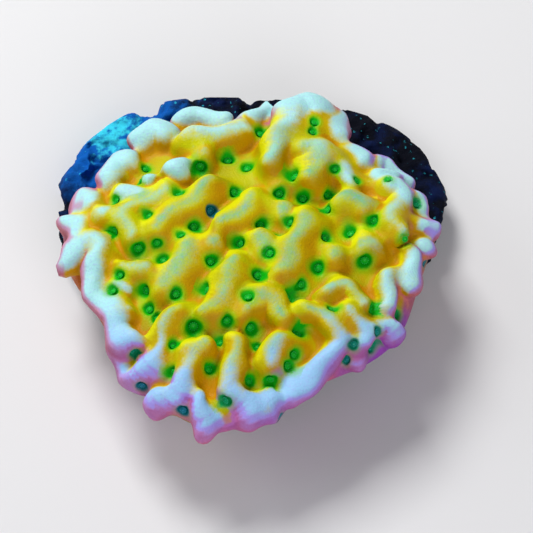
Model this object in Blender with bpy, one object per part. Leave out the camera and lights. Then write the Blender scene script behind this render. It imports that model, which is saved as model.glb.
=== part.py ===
"""An encrusting coral colony on a small slab of reef rock, +Z up.

The colony is one closed body: a low dome on which winding ridges, beads and rim lobes
have grown, with a pit for every polyp. It sits on a rough slab with a flat underside,
and the origin is the middle of that underside. Sizes are in millimetres, and each
mesh is scaled to metres as it is made.
"""

import math

import bmesh
import bpy
import numpy as np
from mathutils import Vector, noise

METRES_PER_MM = 0.001

# The photograph's view: places on the colony are read in its frame, in pixels, and each
# stands for the first point of the colony that the line of sight through it meets.
VIEW_ELEVATION = math.radians(57.0)
VIEW_DISTANCE = 450.0
MM_PER_PIXEL = 0.0812
VIEW_CENTRE_PIXEL = (250.0, 250.0)
VIEW_AIM = np.array([0.0, 0.0, 3.9])
RIGHTWARDS = np.array([1.0, 0.0, 0.0])
UPWARDS = np.array([0.0, math.sin(VIEW_ELEVATION), math.cos(VIEW_ELEVATION)])
TOWARDS_EYE = np.array([0.0, -math.cos(VIEW_ELEVATION), math.sin(VIEW_ELEVATION)])
EYE = VIEW_AIM + VIEW_DISTANCE * TOWARDS_EYE
SEARCH_START = 30.0
SEARCH_STEPS = 120
SEARCH_SHARE = 0.6
SEARCH_LEAST = 0.05
SEARCH_MOST = 2.0
SEARCH_CLOSE = 0.01

# The slab of rock.
ROCK_HEIGHT = 3.9
ROCK_RADII = (14.4, 16.5, 17.4, 17.5, 16.6, 15.8, 15.7, 16.2, 17.2, 17.5, 17.3, 16.3,
              14.5, 13.4, 12.9, 12.9, 13.3, 13.7, 13.9, 13.6, 12.9, 12.4, 12.3, 12.9)
ROCK_WALL_HEIGHT = 2.7
ROCK_SHOULDER_POWER = 4.0
ROCK_TOP_SHARE = 0.8
ROCK_FOOT_INSET = 1.1
ROCK_BULGE = 0.9
ROCK_HOLLOW = 1.3
ROCK_SEAT_SHARES = (0.8, 1.05)
ROCK_LUMP_SIZE = 3.1
ROCK_OCTAVES = 5
ROCK_CELLS = 25
ROCK_SEED = Vector((7.3, 2.1, 5.9))

# The colony's body: a low dome, widest a little above its flat seat.
REST_GAP = 0.3
SEAT = ROCK_HEIGHT + REST_GAP
BODY_CENTRE = (-0.4, -3.4)
BODY_RADII = (14.4, 15.5, 15.1, 14.3, 14.5, 14.5, 13.6, 14.1, 14.2, 14.0, 14.4, 14.9,
              14.2, 12.6, 12.5, 12.9, 13.7, 14.8, 14.3, 12.8, 12.0, 12.7, 13.6, 13.8)
OUTLINE_WAVES = 9
WIDEST = 5.7
CROWN = 3.5
KEEL = 2.4
PLAN_POWER = 2.6
HEIGHT_POWER = 2.2

# Each ridge, bead or lobe: its rise above the body, then the points of its crest as
# (pixel across, pixel down, half-width in millimetres).
RIDGES = {
    "back_left_lobe": (1.8, ((143, 127, 1.45), (151, 123, 1.5), (159, 124, 1.45))),
    "left_shoulder": (1.5, ((124, 154, 1.1), (111, 160, 1.25), (106, 173, 1.1))),
    "left_shoulder_bead": (1.3, ((123, 190, 0.8), (134, 190, 0.8))),
    "small_bead": (1.0, ((149, 175, 0.58),)),
    "round_bead": (1.9, ((176, 161, 1.2),)),
    "chevron": (1.4, ((163, 189, 0.75), (146, 196, 0.85), (126, 208, 0.85), (123, 219, 0.8),
                      (132, 231, 0.65))),
    "edge_bead": (1.6, ((104, 208, 1.1),)),
    "west_lobe_upper": (1.3, ((79, 196, 1.25), (88, 198, 1.1))),
    "west_lobe_lower": (1.3, ((65, 220, 1.1), (76, 221, 1.05))),
    "west_arch": (1.65, ((63, 259, 1.0), (71, 244, 1.0), (84, 236, 1.05), (95, 243, 1.15),
                        (94, 258, 1.1), (89, 274, 1.1), (90, 290, 1.0), (101, 302, 0.9),
                        (112, 314, 0.95), (113, 328, 1.0), (121, 336, 1.1), (133, 337, 0.8))),
    "west_floor": (0.6, ((109, 256, 1.0), (106, 273, 1.0), (110, 288, 0.9))),
    "west_spur": (1.1, ((112, 306, 0.7), (126, 310, 0.5))),
    "west_fall": (1.2, ((113, 338, 0.9), (112, 348, 0.9), (117, 361, 0.85), (119, 372, 0.8),
                        (127, 381, 0.8))),
    "left_small_ridge": (1.2, ((124, 263, 0.55), (137, 268, 0.8), (145, 270, 0.65))),
    "left_small_bead": (1.1, ((121, 286, 0.65),)),
    "back_lobe": (1.5, ((182, 111, 1.0), (197, 109, 1.05), (212, 110, 1.0), (223, 114, 0.8))),
    "back_wave": (1.8, ((197, 130, 1.4), (210, 130, 1.15), (222, 129, 0.95), (233, 127, 0.95),
                        (242, 123, 0.85))),
    "back_notch": (0.8, ((262, 131, 1.0),)),
    "back_wave_spur": (1.5, ((197, 139, 1.2), (203, 150, 0.9))),
    "back_rim_ridge": (1.6, ((251, 113, 0.9), (260, 106, 1.05), (270, 101, 1.1),
                             (280, 100, 0.9))),
    "summit_swell": (1.4, ((309, 105, 1.5), (299, 122, 1.5), (289, 138, 1.3))),
    "summit_ridge": (2.6, ((313, 98, 1.3), (302, 95, 1.4), (292, 106, 1.3), (284, 122, 1.2),
                           (278, 137, 1.15), (271, 151, 0.95))),
    "summit_foot": (1.2, ((277, 150, 1.6), (276, 165, 1.6), (280, 177, 1.3))),
    "summit_mound": (2.0, ((319, 107, 1.3), (315, 121, 1.3), (304, 129, 1.1))),
    "summit_knoll": (2.3, ((307, 141, 1.15), (321, 145, 1.4), (316, 157, 1.4),
                           (309, 169, 1.1))),
    "knoll_spur": (1.5, ((332, 158, 0.8), (346, 168, 0.8), (351, 176, 0.6))),
    "back_right_lobe": (1.9, ((338, 112, 1.25), (338, 126, 1.2))),
    "right_shoulder_lobe": (1.6, ((353, 147, 1.1), (361, 153, 1.1))),
    "north_east_lobe": (1.1, ((380, 160, 0.85), (395, 164, 0.95), (408, 177, 0.85))),
    "north_east_bead": (1.3, ((381, 170, 0.6), (392, 172, 0.65))),
    "thin_crest": (0.9, ((360, 177, 0.5), (371, 181, 0.5), (386, 184, 0.55))),
    "east_ridge": (1.8, ((391, 184, 0.95), (404, 187, 1.0), (398, 203, 1.15), (395, 219, 1.05),
                         (401, 230, 0.6), (405, 237, 0.5))),
    "east_lobe_upper": (1.2, ((421, 194, 0.85), (427, 203, 0.8))),
    "east_lobe_middle": (1.3, ((422, 220, 0.75), (432, 223, 0.95))),
    "east_lobe_lower": (1.2, ((430, 246, 0.85),)),
    "east_dome": (1.8, ((352, 196, 1.6), (362, 201, 1.5))),
    "long_diagonal": (1.5, ((212, 180, 0.7), (205, 184, 0.85), (192, 195, 0.95),
                            (178, 205, 1.0), (166, 214, 1.05), (157, 223, 0.95))),
    "short_diagonal": (1.4, ((253, 196, 1.05), (243, 205, 1.0), (232, 214, 0.95),
                             (222, 222, 0.7))),
    "left_middle_ridge": (1.4, ((187, 244, 1.4), (184, 257, 1.4), (173, 270, 1.3),
                                (163, 281, 1.15))),
    "middle_bead_left": (1.4, ((213, 238, 1.15),)),
    "centre_left_ridge": (1.6, ((235, 260, 1.1), (229, 274, 1.3), (224, 289, 1.3),
                                (217, 302, 1.1), (207, 310, 0.7))),
    "middle_bead": (1.5, ((260, 237, 1.15), (266, 240, 1.15))),
    "upper_bead": (1.3, ((281, 207, 1.1),)),
    "centre_right_ridge": (1.7, ((306, 214, 1.05), (302, 227, 1.0), (294, 240, 1.05),
                                 (287, 253, 1.1), (281, 266, 1.2))),
    "right_bead": (1.4, ((337, 251, 1.3),)),
    "right_far_bead": (1.4, ((370, 240, 1.5),)),
    "centre_mound": (1.6, ((244, 308, 0.8), (255, 299, 1.05), (265, 294, 1.2), (276, 300, 1.1),
                           (284, 310, 0.8))),
    "right_hook": (1.4, ((330, 289, 0.8), (340, 284, 0.9), (348, 284, 0.8), (355, 292, 0.6),
                         (364, 300, 0.55))),
    "south_east_sweep": (1.7, ((309, 307, 0.75), (322, 312, 0.75), (334, 322, 0.8),
                               (341, 334, 0.9), (337, 346, 0.95), (331, 358, 1.1),
                               (321, 371, 1.1), (308, 383, 1.15), (294, 393, 1.1))),
    "south_east_hook": (1.6, ((351, 311, 0.75), (361, 318, 0.9), (368, 329, 0.95),
                              (366, 338, 0.9))),
    "east_rim_ridge": (1.5, ((413, 254, 0.85), (416, 268, 0.95), (416, 280, 0.85))),
    "east_inner_ridge": (1.4, ((390, 276, 0.8), (390, 290, 0.9), (391, 302, 0.8))),
    "east_bridge": (1.0, ((396, 271, 0.6), (407, 266, 0.6))),
    "south_east_lobe": (1.2, ((379, 325, 0.6), (391, 325, 0.8), (399, 334, 0.85))),
    "south_east_foot": (0.8, ((365, 358, 0.9),)),
    "south_west_ridge": (1.5, ((178, 307, 0.65), (171, 314, 0.75), (165, 325, 0.7),
                               (159, 335, 0.65), (157, 346, 0.7), (151, 357, 0.9),
                               (143, 367, 1.0), (133, 375, 0.8), (126, 380, 0.8))),
    "south_bend": (1.6, ((204, 341, 0.65), (192, 347, 0.85), (188, 360, 0.9), (186, 373, 0.85),
                         (183, 385, 0.85), (174, 395, 0.95), (164, 401, 1.15),
                         (157, 406, 1.2))),
    "south_finger": (1.6, ((200, 399, 0.65), (202, 412, 0.9), (205, 425, 1.2))),
    "south_cleft_left": (0.8, ((185, 408, 0.9),)),
    "south_cleft_right": (0.9, ((222, 412, 0.95), (226, 422, 0.95))),
    "south_ridge": (1.6, ((237, 340, 0.8), (236, 353, 0.9), (232, 367, 0.8), (231, 382, 0.9),
                          (239, 395, 0.85), (249, 408, 1.1), (253, 418, 1.15))),
    "south_knob": (1.5, ((268, 400, 1.0), (269, 411, 1.0))),
    "south_rim_link": (1.4, ((253, 414, 1.1), (268, 412, 1.0))),
    "south_short_ridge": (1.5, ((282, 337, 0.85), (276, 348, 0.8), (269, 360, 0.8))),
}

# The inner ridges fall away gently on their right, where a wide low swelling lies along
# each: its shift in pixels and added half-width, and its share of the ridge's rise.
LEE_RIDGES = ("long_diagonal", "short_diagonal", "left_middle_ridge", "centre_left_ridge",
              "centre_right_ridge", "south_short_ridge", "south_west_ridge", "chevron")
LEE_SHIFT = (11.0, 5.0, 0.3)
LEE_RISE_SHARE = 0.55

MIDDLE_BLEND = 1.25
RIM_BLEND = 0.95
BLEND_SHARES = (0.5, 0.82)
RIDGE_REACH = 3.0
CREST_STEPS = 3

# Slow ripples that keep the ridges from running straight and even: wave length in
# millimetres, the way the wave runs, its phase, and its push in millimetres.
RIPPLES = (
    (3.1, (1.0, 0.3, 0.5), 0.4, (0.00, 0.14, 0.05)),
    (2.6, (-0.4, 1.0, 0.2), 1.9, (0.13, 0.00, -0.05)),
    (4.3, (0.8, -0.7, 0.4), 3.3, (0.12, 0.12, 0.00)),
    (3.7, (0.2, 0.9, -0.6), 5.2, (-0.12, 0.08, 0.08)),
)

# Each pit that the view shows: (pixel across, pixel down, radius in millimetres).
PITS = (
    (138, 250, 0.6), (157, 244, 0.45), (163, 259, 0.5), (113, 232, 0.5), (119, 275, 0.45),
    (112, 290, 0.45), (145, 291, 0.53), (149, 309, 0.5), (157, 318, 0.45), (177, 294, 0.53),
    (205, 289, 0.48), (212, 261, 0.53), (239, 243, 0.53), (195, 227, 0.53), (181, 234, 0.36),
    (212, 211, 0.53), (148, 215, 0.42), (146, 168, 0.42), (138, 181, 0.36), (115, 200, 0.42),
    (179, 192, 0.5), (262, 225, 0.53), (289, 222, 0.46), (278, 236, 0.36), (269, 253, 0.53),
    (259, 275, 0.56), (248, 295, 0.53), (291, 296, 0.57), (303, 285, 0.48), (318, 268, 0.57),
    (327, 237, 0.5), (350, 232, 0.53), (365, 262, 0.6), (373, 221, 0.5), (406, 240, 0.46),
    (333, 308, 0.42), (374, 309, 0.53), (396, 314, 0.5), (379, 332, 0.42), (372, 347, 0.5),
    (354, 345, 0.46), (346, 360, 0.42), (299, 332, 0.6), (296, 355, 0.5), (290, 366, 0.53),
    (282, 418, 0.42), (270, 382, 0.53), (250, 381, 0.5), (257, 347, 0.38), (252, 329, 0.56),
    (228, 322, 0.53), (219, 342, 0.5), (194, 328, 0.68), (174, 345, 0.42), (172, 373, 0.5),
    (210, 369, 0.5), (183, 412, 0.5), (224, 402, 0.53), (230, 432, 0.42), (142, 388, 0.5),
    (135, 353, 0.46), (293, 175, 0.56), (280, 194, 0.53), (303, 198, 0.53), (329, 195, 0.46),
    (326, 209, 0.46), (335, 169, 0.42), (358, 180, 0.36), (388, 178, 0.36), (417, 203, 0.46),
    (426, 263, 0.38), (315, 121, 0.42), (313, 131, 0.4), (261, 132, 0.53), (236, 192, 0.53),
    (247, 167, 0.5), (228, 159, 0.53), (200, 168, 0.6),
)
# Pits on the side that the view does not show: (degrees round from +X, height).
BACK_PITS = ((28, 5.6), (44, 6.6), (57, 5.4), (70, 6.4), (83, 5.5), (96, 6.5), (109, 5.5),
             (123, 6.4), (137, 5.6), (151, 5.4), (166, 5.5))
BACK_PIT_RADIUS = 0.46
PIT_DEPTH = 0.85
PIT_FLOOR = 0.45
PIT_LIP = 1.25
PIT_WAVES = ((3, 0.05, 1.7), (2, 0.06, 0.6))
PIT_BAND = 1.6

# How finely the colony is meshed before it is thinned, and how many faces are kept.
COLONY_CELLS = 170
RAISING_ROUNDS = 24
RAISING_STEP = 0.35
SETTLING_ROUNDS = 18
COLONY_TRIANGLES = 7600

# The move that puts the middle of the whole thing over the origin.
TO_ORIGIN = np.array([-0.0865, 2.0317, 0.0])


def outline_radius(angles, radii):
    """The radius at each angle of a smooth closed outline through evenly spaced radii."""
    waves = np.fft.rfft(radii) / len(radii)
    total = np.full(np.shape(angles), waves[0].real)
    for order in range(1, OUTLINE_WAVES + 1):
        turned = order * angles
        total += 2 * (waves[order].real * np.cos(turned) - waves[order].imag * np.sin(turned))
    return total


def body_field(points):
    """(distance outside, outward direction, share out to the rim) for the plain body."""
    across = points[:, :2] - np.array(BODY_CENTRE)
    radius = np.maximum(np.hypot(across[:, 0], across[:, 1]), 1e-6)
    outline = outline_radius(np.arctan2(across[:, 1], across[:, 0]), BODY_RADII)
    height = points[:, 2] - WIDEST
    half = np.where(height > 0, CROWN, KEEL)
    plan = radius / outline
    rise = np.maximum(np.abs(height) / half, 1e-6)
    total = np.maximum(plan**PLAN_POWER + rise**HEIGHT_POWER, 1e-9)
    level = total ** (1 / PLAN_POWER)
    outwards = level / total * plan ** (PLAN_POWER - 1) / outline
    upwards = level / total * HEIGHT_POWER / PLAN_POWER * rise ** (HEIGHT_POWER - 1) / half
    normal = np.column_stack((
        outwards * across[:, 0] / radius,
        outwards * across[:, 1] / radius,
        upwards * np.sign(height),
    ))
    steepness = np.linalg.norm(normal, axis=1)
    return (level - 1) / steepness, normal / steepness[:, None], plan


def sight_lines(pixels):
    """The unit directions of the lines of sight through these pixels."""
    across = (pixels[:, 0] - VIEW_CENTRE_PIXEL[0]) * MM_PER_PIXEL
    up = (VIEW_CENTRE_PIXEL[1] - pixels[:, 1]) * MM_PER_PIXEL
    towards = VIEW_AIM + across[:, None] * RIGHTWARDS + up[:, None] * UPWARDS - EYE
    return towards / np.linalg.norm(towards, axis=1)[:, None]


def seen_at(pixels, distance, level):
    """The first point on each line of sight where distance falls to level, or the nearest."""
    directions = sight_lines(pixels)
    travel = np.full(len(pixels), VIEW_DISTANCE - SEARCH_START)
    best = travel.copy()
    least = np.full(len(pixels), np.inf)
    for _ in range(SEARCH_STEPS):
        gap = distance(EYE + directions * travel[:, None]) - level
        nearer = gap < least
        best[nearer] = travel[nearer]
        least = np.minimum(least, gap)
        stride = np.clip(gap * SEARCH_SHARE, SEARCH_LEAST, SEARCH_MOST)
        travel += np.where(least < SEARCH_CLOSE, 0.0, stride)
    return EYE + directions * best[:, None]


def rounded_crest(rows):
    """A crest's rows with more between them, along a smooth curve through them all."""
    if len(rows) < 3:
        return rows
    ends = np.vstack((2 * rows[0] - rows[1], rows, 2 * rows[-1] - rows[-2]))
    curve = []
    for before, start, end, after in zip(ends[:-3], ends[1:-2], ends[2:-1], ends[3:]):
        for step in range(CREST_STEPS):
            t = step / CREST_STEPS
            bend = 2 * before - 5 * start + 4 * end - after
            twist = 3 * start - 3 * end + after - before
            curve.append(start + 0.5 * (t * (end - before) + t**2 * bend + t**3 * twist))
    return np.vstack((curve, rows[-1]))


def axis_under(rows, rise):
    """The axis under a crest's rows, as rows of x, y, z and half-width."""
    top = seen_at(rows[:, :2], lambda p: body_field(p)[0], rise)
    outwards = body_field(top)[1]
    return np.column_stack((top - outwards * rows[:, 2:3], rows[:, 2]))


def ridge_axes():
    """The axes of all the ridges and of the swellings beside them."""
    axes = []
    for name, (rise, crest) in RIDGES.items():
        rows = rounded_crest(np.array(crest, float))
        axes.append(axis_under(rows, rise))
        if name in LEE_RIDGES:
            axes.append(axis_under(rows + LEE_SHIFT, rise * LEE_RISE_SHARE))
    return axes


def rippled(points):
    """The points pushed to and fro by the ripples."""
    moved = points.copy()
    for length, way, phase, push in RIPPLES:
        turns = 2 * math.pi / (length * math.hypot(*way))
        moved += np.sin(points @ np.array(way) * turns + phase)[:, None] * np.array(push)
    return moved


def ridge_field(points, axis):
    """(distance outside, outward direction) for one ridge: a chain of tapering round bars."""
    starts = axis[:-1] if len(axis) > 1 else axis
    ends = axis[1:] if len(axis) > 1 else axis
    nearest = np.full(len(points), np.inf)
    outwards = np.zeros_like(points)
    for start, end in zip(starts, ends):
        run = end[:3] - start[:3]
        along = np.clip((points - start[:3]) @ run / max(run @ run, 1e-9), 0, 1)
        offset = points - start[:3] - along[:, None] * run
        apart = np.sqrt((offset * offset).sum(axis=1)) + 1e-9
        distance = apart - start[3] - along * (end[3] - start[3])
        closer = distance < nearest
        nearest[closer] = distance[closer]
        outwards[closer] = offset[closer] / apart[closer, None]
    return nearest, outwards


def colony_field(points, axes):
    """(distance outside, outward direction) for the body and its ridges, blended together."""
    distance, outwards, share = body_field(points)
    outer = np.clip((share - BLEND_SHARES[0]) / (BLEND_SHARES[1] - BLEND_SHARES[0]), 0, 1)
    blend = MIDDLE_BLEND + (RIM_BLEND - MIDDLE_BLEND) * outer
    moved = rippled(points)
    for axis in axes:
        low = axis[:, :3].min(axis=0) - RIDGE_REACH
        high = axis[:, :3].max(axis=0) + RIDGE_REACH
        near = np.nonzero(((moved > low) & (moved < high)).all(axis=1))[0]
        if len(near) == 0:
            continue
        ridge, ridge_outwards = ridge_field(moved[near], axis)
        body, body_outwards = distance[near], outwards[near]
        width = blend[near]
        overlap = np.maximum(width - np.abs(ridge - body), 0) / width
        distance[near] = np.minimum(ridge, body) - overlap**2 * width / 4
        share = np.where(ridge < body, 1 - overlap / 2, overlap / 2)[:, None]
        outwards[near] = share * ridge_outwards + (1 - share) * body_outwards
    return distance, outwards


def unit(vectors):
    """The vectors, each at length one."""
    return vectors / np.maximum(np.linalg.norm(vectors, axis=1), 1e-9)[:, None]


def disc_of_square(square):
    """A square grid's points, from -1 to 1, moved onto a unit disc as (radius, angle)."""
    x, y = square[:, 0], square[:, 1]
    wide = np.abs(x) >= np.abs(y)
    radius = np.where(wide, x, y)
    safe = np.where(np.abs(radius) < 1e-9, 1.0, radius)
    angle = np.where(wide, y / safe, 2 - x / safe) * math.pi / 4
    return np.abs(radius), angle + np.where(radius < 0, math.pi, 0)


def cap_mesh(cells):
    """A bmesh grid of cells by cells, with its points as radii and angles on a unit disc."""
    mesh = bmesh.new()
    bmesh.ops.create_grid(mesh, x_segments=cells, y_segments=cells, size=1.0)
    square = np.array([v.co[:] for v in mesh.verts])
    return mesh, *disc_of_square(square)


def close_underside(mesh):
    """Fill the open rim with one flat face and point every face outwards."""
    rim = [e for e in mesh.edges if e.is_boundary]
    bmesh.ops.contextual_create(mesh, geom=rim)
    bmesh.ops.recalc_face_normals(mesh, faces=mesh.faces)


def on_body(share, angles):
    """Points on the plain body: share runs from 0 at the crown to 1 at the seat's edge."""
    profile_angle = np.linspace(0, math.pi, 400)
    plan = np.sin(profile_angle) ** (2 / PLAN_POWER)
    cosine = np.cos(profile_angle)
    half = np.where(cosine > 0, CROWN, KEEL)
    height = WIDEST + np.sign(cosine) * half * np.abs(cosine) ** (2 / HEIGHT_POWER)
    kept = height >= SEAT
    plan, height = plan[kept], height[kept]
    mean_radius = np.mean(BODY_RADII)
    steps = np.hypot(np.diff(plan) * mean_radius, np.diff(height))
    run = np.concatenate(([0.0], np.cumsum(steps)))
    at = share * run[-1]
    radius = np.interp(at, run, plan) * outline_radius(angles, BODY_RADII)
    return np.column_stack((
        BODY_CENTRE[0] + radius * np.cos(angles),
        BODY_CENTRE[1] + radius * np.sin(angles),
        np.interp(at, run, height),
    ))


def settled(points, edges, rim, axes):
    """Points raised from the body onto the ridges, then evened out along the surface."""
    outwards = body_field(points)[1]
    for _ in range(RAISING_ROUNDS):
        gap = colony_field(points, axes)[0]
        points = points - outwards * np.clip(gap, -RAISING_STEP, RAISING_STEP)[:, None]
    count = np.bincount(edges.ravel(), minlength=len(points))[:, None]
    for _ in range(SETTLING_ROUNDS):
        total = np.zeros_like(points)
        for axis in range(3):
            total[:, axis] += np.bincount(edges[:, 0], points[edges[:, 1], axis], len(points))
            total[:, axis] += np.bincount(edges[:, 1], points[edges[:, 0], axis], len(points))
        points = 0.5 * points + 0.5 * total / count
        gap, slope = colony_field(points, axes)
        points -= unit(slope) * np.clip(gap, -RAISING_STEP, RAISING_STEP)[:, None]
        points[:, 2] = np.maximum(points[:, 2], SEAT)
        points[rim, 2] = SEAT
    return points


def pit_places(axes):
    """Each pit's centre on the surface, its outward direction and its radius."""
    def distance(points):
        return colony_field(points, axes)[0]

    seen = np.array(PITS, float)
    centres = seen_at(seen[:, :2], distance, 0.0)
    turns = np.radians([degrees for degrees, _ in BACK_PITS])
    heading = np.column_stack((np.cos(turns), np.sin(turns), np.zeros(len(turns))))
    hidden = heading * (max(BODY_RADII) + RIDGE_REACH)
    hidden[:, :2] += BODY_CENTRE
    hidden[:, 2] = [height for _, height in BACK_PITS]
    for _ in range(SEARCH_STEPS):
        hidden -= heading * SEARCH_SHARE * distance(hidden)[:, None]
    centres = np.vstack((centres, hidden))
    radii = np.concatenate((seen[:, 2], np.full(len(hidden), BACK_PIT_RADIUS)))
    return centres, unit(colony_field(centres, axes)[1]), radii


def sink_pits(points, axes):
    """Press a roundish pit into the surface for every polyp."""
    for number, (centre, outwards, radius) in enumerate(zip(*pit_places(axes))):
        offset = points - centre
        lift = offset @ outwards
        flat = offset - lift[:, None] * outwards
        turn = np.arctan2(flat[:, 1], flat[:, 0])
        swell = 1 + sum(size * np.sin(count * turn + shift * number)
                        for count, size, shift in PIT_WAVES)
        apart = np.linalg.norm(flat, axis=1) / (radius * swell)
        near = (apart < PIT_LIP) & (np.abs(lift) < radius * PIT_BAND) & (points[:, 2] > SEAT)
        fall = np.clip((PIT_LIP - apart[near]) / (PIT_LIP - PIT_FLOOR), 0, 1)
        depth = PIT_DEPTH * radius * fall**2 * (3 - 2 * fall)
        points[near] -= depth[:, None] * outwards
    points[:, 2] = np.maximum(points[:, 2], SEAT)
    return points


def write_points(mesh, points):
    """Move a bmesh's vertices to these points, given in millimetres."""
    for vertex, point in zip(mesh.verts, (points + TO_ORIGIN) * METRES_PER_MM):
        vertex.co = point


def finished_object(name, mesh, material):
    """A smooth-shaded object in the scene made from a bmesh."""
    data = bpy.data.meshes.new(name)
    mesh.to_mesh(data)
    mesh.free()
    data.shade_smooth()
    data.materials.append(material)
    made = bpy.data.objects.new(name, data)
    bpy.context.scene.collection.objects.link(made)
    return made


def plain_material(name, colour, roughness):
    """A Principled material of one colour."""
    material = bpy.data.materials.new(name)
    material.use_nodes = True
    shader = material.node_tree.nodes["Principled BSDF"]
    shader.inputs["Base Color"].default_value = (*colour, 1.0)
    shader.inputs["Roughness"].default_value = roughness
    shader.inputs["Metallic"].default_value = 0.0
    return material


def rock_slab():
    """The slab: an uneven outline, rounded shoulders, rough lumps and a flat underside."""
    mesh, share, angles = cap_mesh(ROCK_CELLS)
    plan = np.minimum(share / ROCK_TOP_SHARE, 1.0)
    down = np.maximum(share - ROCK_TOP_SHARE, 0.0) / (1 - ROCK_TOP_SHARE)
    shoulder = (1 - plan**ROCK_SHOULDER_POWER) ** (1 / ROCK_SHOULDER_POWER)
    height = ROCK_WALL_HEIGHT * (1 - down) + (ROCK_HEIGHT - ROCK_WALL_HEIGHT) * shoulder
    reach = outline_radius(angles, ROCK_RADII) * plan - ROCK_FOOT_INSET * down
    heading = np.column_stack((np.cos(angles), np.sin(angles)))
    points = np.column_stack((heading * reach[:, None], height))
    lumps = np.array([noise.fractal(Vector(point) / ROCK_LUMP_SIZE + ROCK_SEED, 1.0, 2.0,
                                    ROCK_OCTAVES) for point in points])
    points[:, :2] += heading * (ROCK_BULGE * lumps * plan)[:, None]
    seat = np.clip((body_field(points)[2] - ROCK_SEAT_SHARES[0])
                   / (ROCK_SEAT_SHARES[1] - ROCK_SEAT_SHARES[0]), 0, 1)
    points[:, 2] -= ROCK_HOLLOW * np.abs(lumps) * (1 - down) * seat
    points[share > 1 - 1e-6, 2] = 0.0
    write_points(mesh, points)
    close_underside(mesh)
    return finished_object("rock_base", mesh, plain_material("reef_rock", (0.03, 0.09, 0.2), 0.85))


def coral_colony():
    """The colony: the dome, its ridges and its pits, thinned to a light mesh."""
    mesh, share, angles = cap_mesh(COLONY_CELLS)
    edges = np.array([[v.index for v in e.verts] for e in mesh.edges])
    rim = share > 1 - 1e-6
    axes = ridge_axes()
    points = settled(on_body(share, angles), edges, rim, axes)
    write_points(mesh, sink_pits(points, axes))
    close_underside(mesh)
    made = finished_object("coral_colony", mesh,
                           plain_material("coral_tissue", (0.72, 0.62, 0.02), 0.45))
    thinning = made.modifiers.new("thinning", "DECIMATE")
    thinning.ratio = COLONY_TRIANGLES / (2 * COLONY_CELLS**2)
    return made


def main():
    for leftover in list(bpy.data.objects):
        bpy.data.objects.remove(leftover)
    rock_slab()
    coral_colony()


main()
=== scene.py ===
"""An encrusting coral colony on its slab of reef rock, dressed for the photograph's view.

The colony's body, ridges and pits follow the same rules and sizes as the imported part, at a
finer grain and with crisper creases, and polyps sit in the pits. Everything is worked out in
millimetres and made in metres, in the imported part's frame.
"""

import logging
import math
from dataclasses import dataclass, field
from enum import Enum
from typing import Callable, Sequence

import bmesh
import bpy
import numpy as np
from mathutils import Matrix, Vector, noise

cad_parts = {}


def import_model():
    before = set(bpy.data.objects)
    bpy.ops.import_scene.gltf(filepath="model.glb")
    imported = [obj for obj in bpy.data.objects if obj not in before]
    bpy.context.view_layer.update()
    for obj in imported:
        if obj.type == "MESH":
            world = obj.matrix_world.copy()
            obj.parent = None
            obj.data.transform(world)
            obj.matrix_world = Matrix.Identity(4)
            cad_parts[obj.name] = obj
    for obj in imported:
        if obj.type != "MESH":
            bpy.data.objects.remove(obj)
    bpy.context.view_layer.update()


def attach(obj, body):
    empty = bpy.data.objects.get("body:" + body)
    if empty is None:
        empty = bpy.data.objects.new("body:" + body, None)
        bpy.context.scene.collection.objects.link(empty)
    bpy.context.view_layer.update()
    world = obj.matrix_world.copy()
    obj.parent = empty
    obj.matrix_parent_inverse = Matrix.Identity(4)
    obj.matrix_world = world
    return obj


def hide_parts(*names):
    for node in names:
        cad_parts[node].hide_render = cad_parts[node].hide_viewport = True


LOG = logging.getLogger("coral")

METRES_PER_MM = 0.001

Array = np.ndarray
Colour = tuple[float, float, float]
Pair = tuple[float, float]
Triple = tuple[float, float, float]
Socket = bpy.types.NodeSocket


class Piece(Enum):
    """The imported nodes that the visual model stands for."""

    COLONY = "coral_colony"
    ROCK = "rock_base"


class Slot(Enum):
    """The record's material slots."""

    TISSUE = "coral_tissue"
    ROCK = "reef_rock"
    POLYP = "polyp"


class Crest(Enum):
    """How far the pale colour spreads over a ridge, however far in it lies."""

    PLAIN = -1.0
    LINED = 0.0
    BROAD = 0.25
    CAPPED = 1.0


class Mask(Enum):
    """The point attributes that the materials read."""

    CREST = "crest"
    LIFT = "lift"
    RIM = "rim"
    WALL = "wall"
    # Hollows, where the tissue paints orange shade.
    CREASE = "crease"
    PIT = "pit_reach"
    # How far the surface faces away from the light: the tissue paints shade and highlight by it.
    AWAY_FROM_LIGHT = "front"
    BLUE = "blue"


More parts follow.
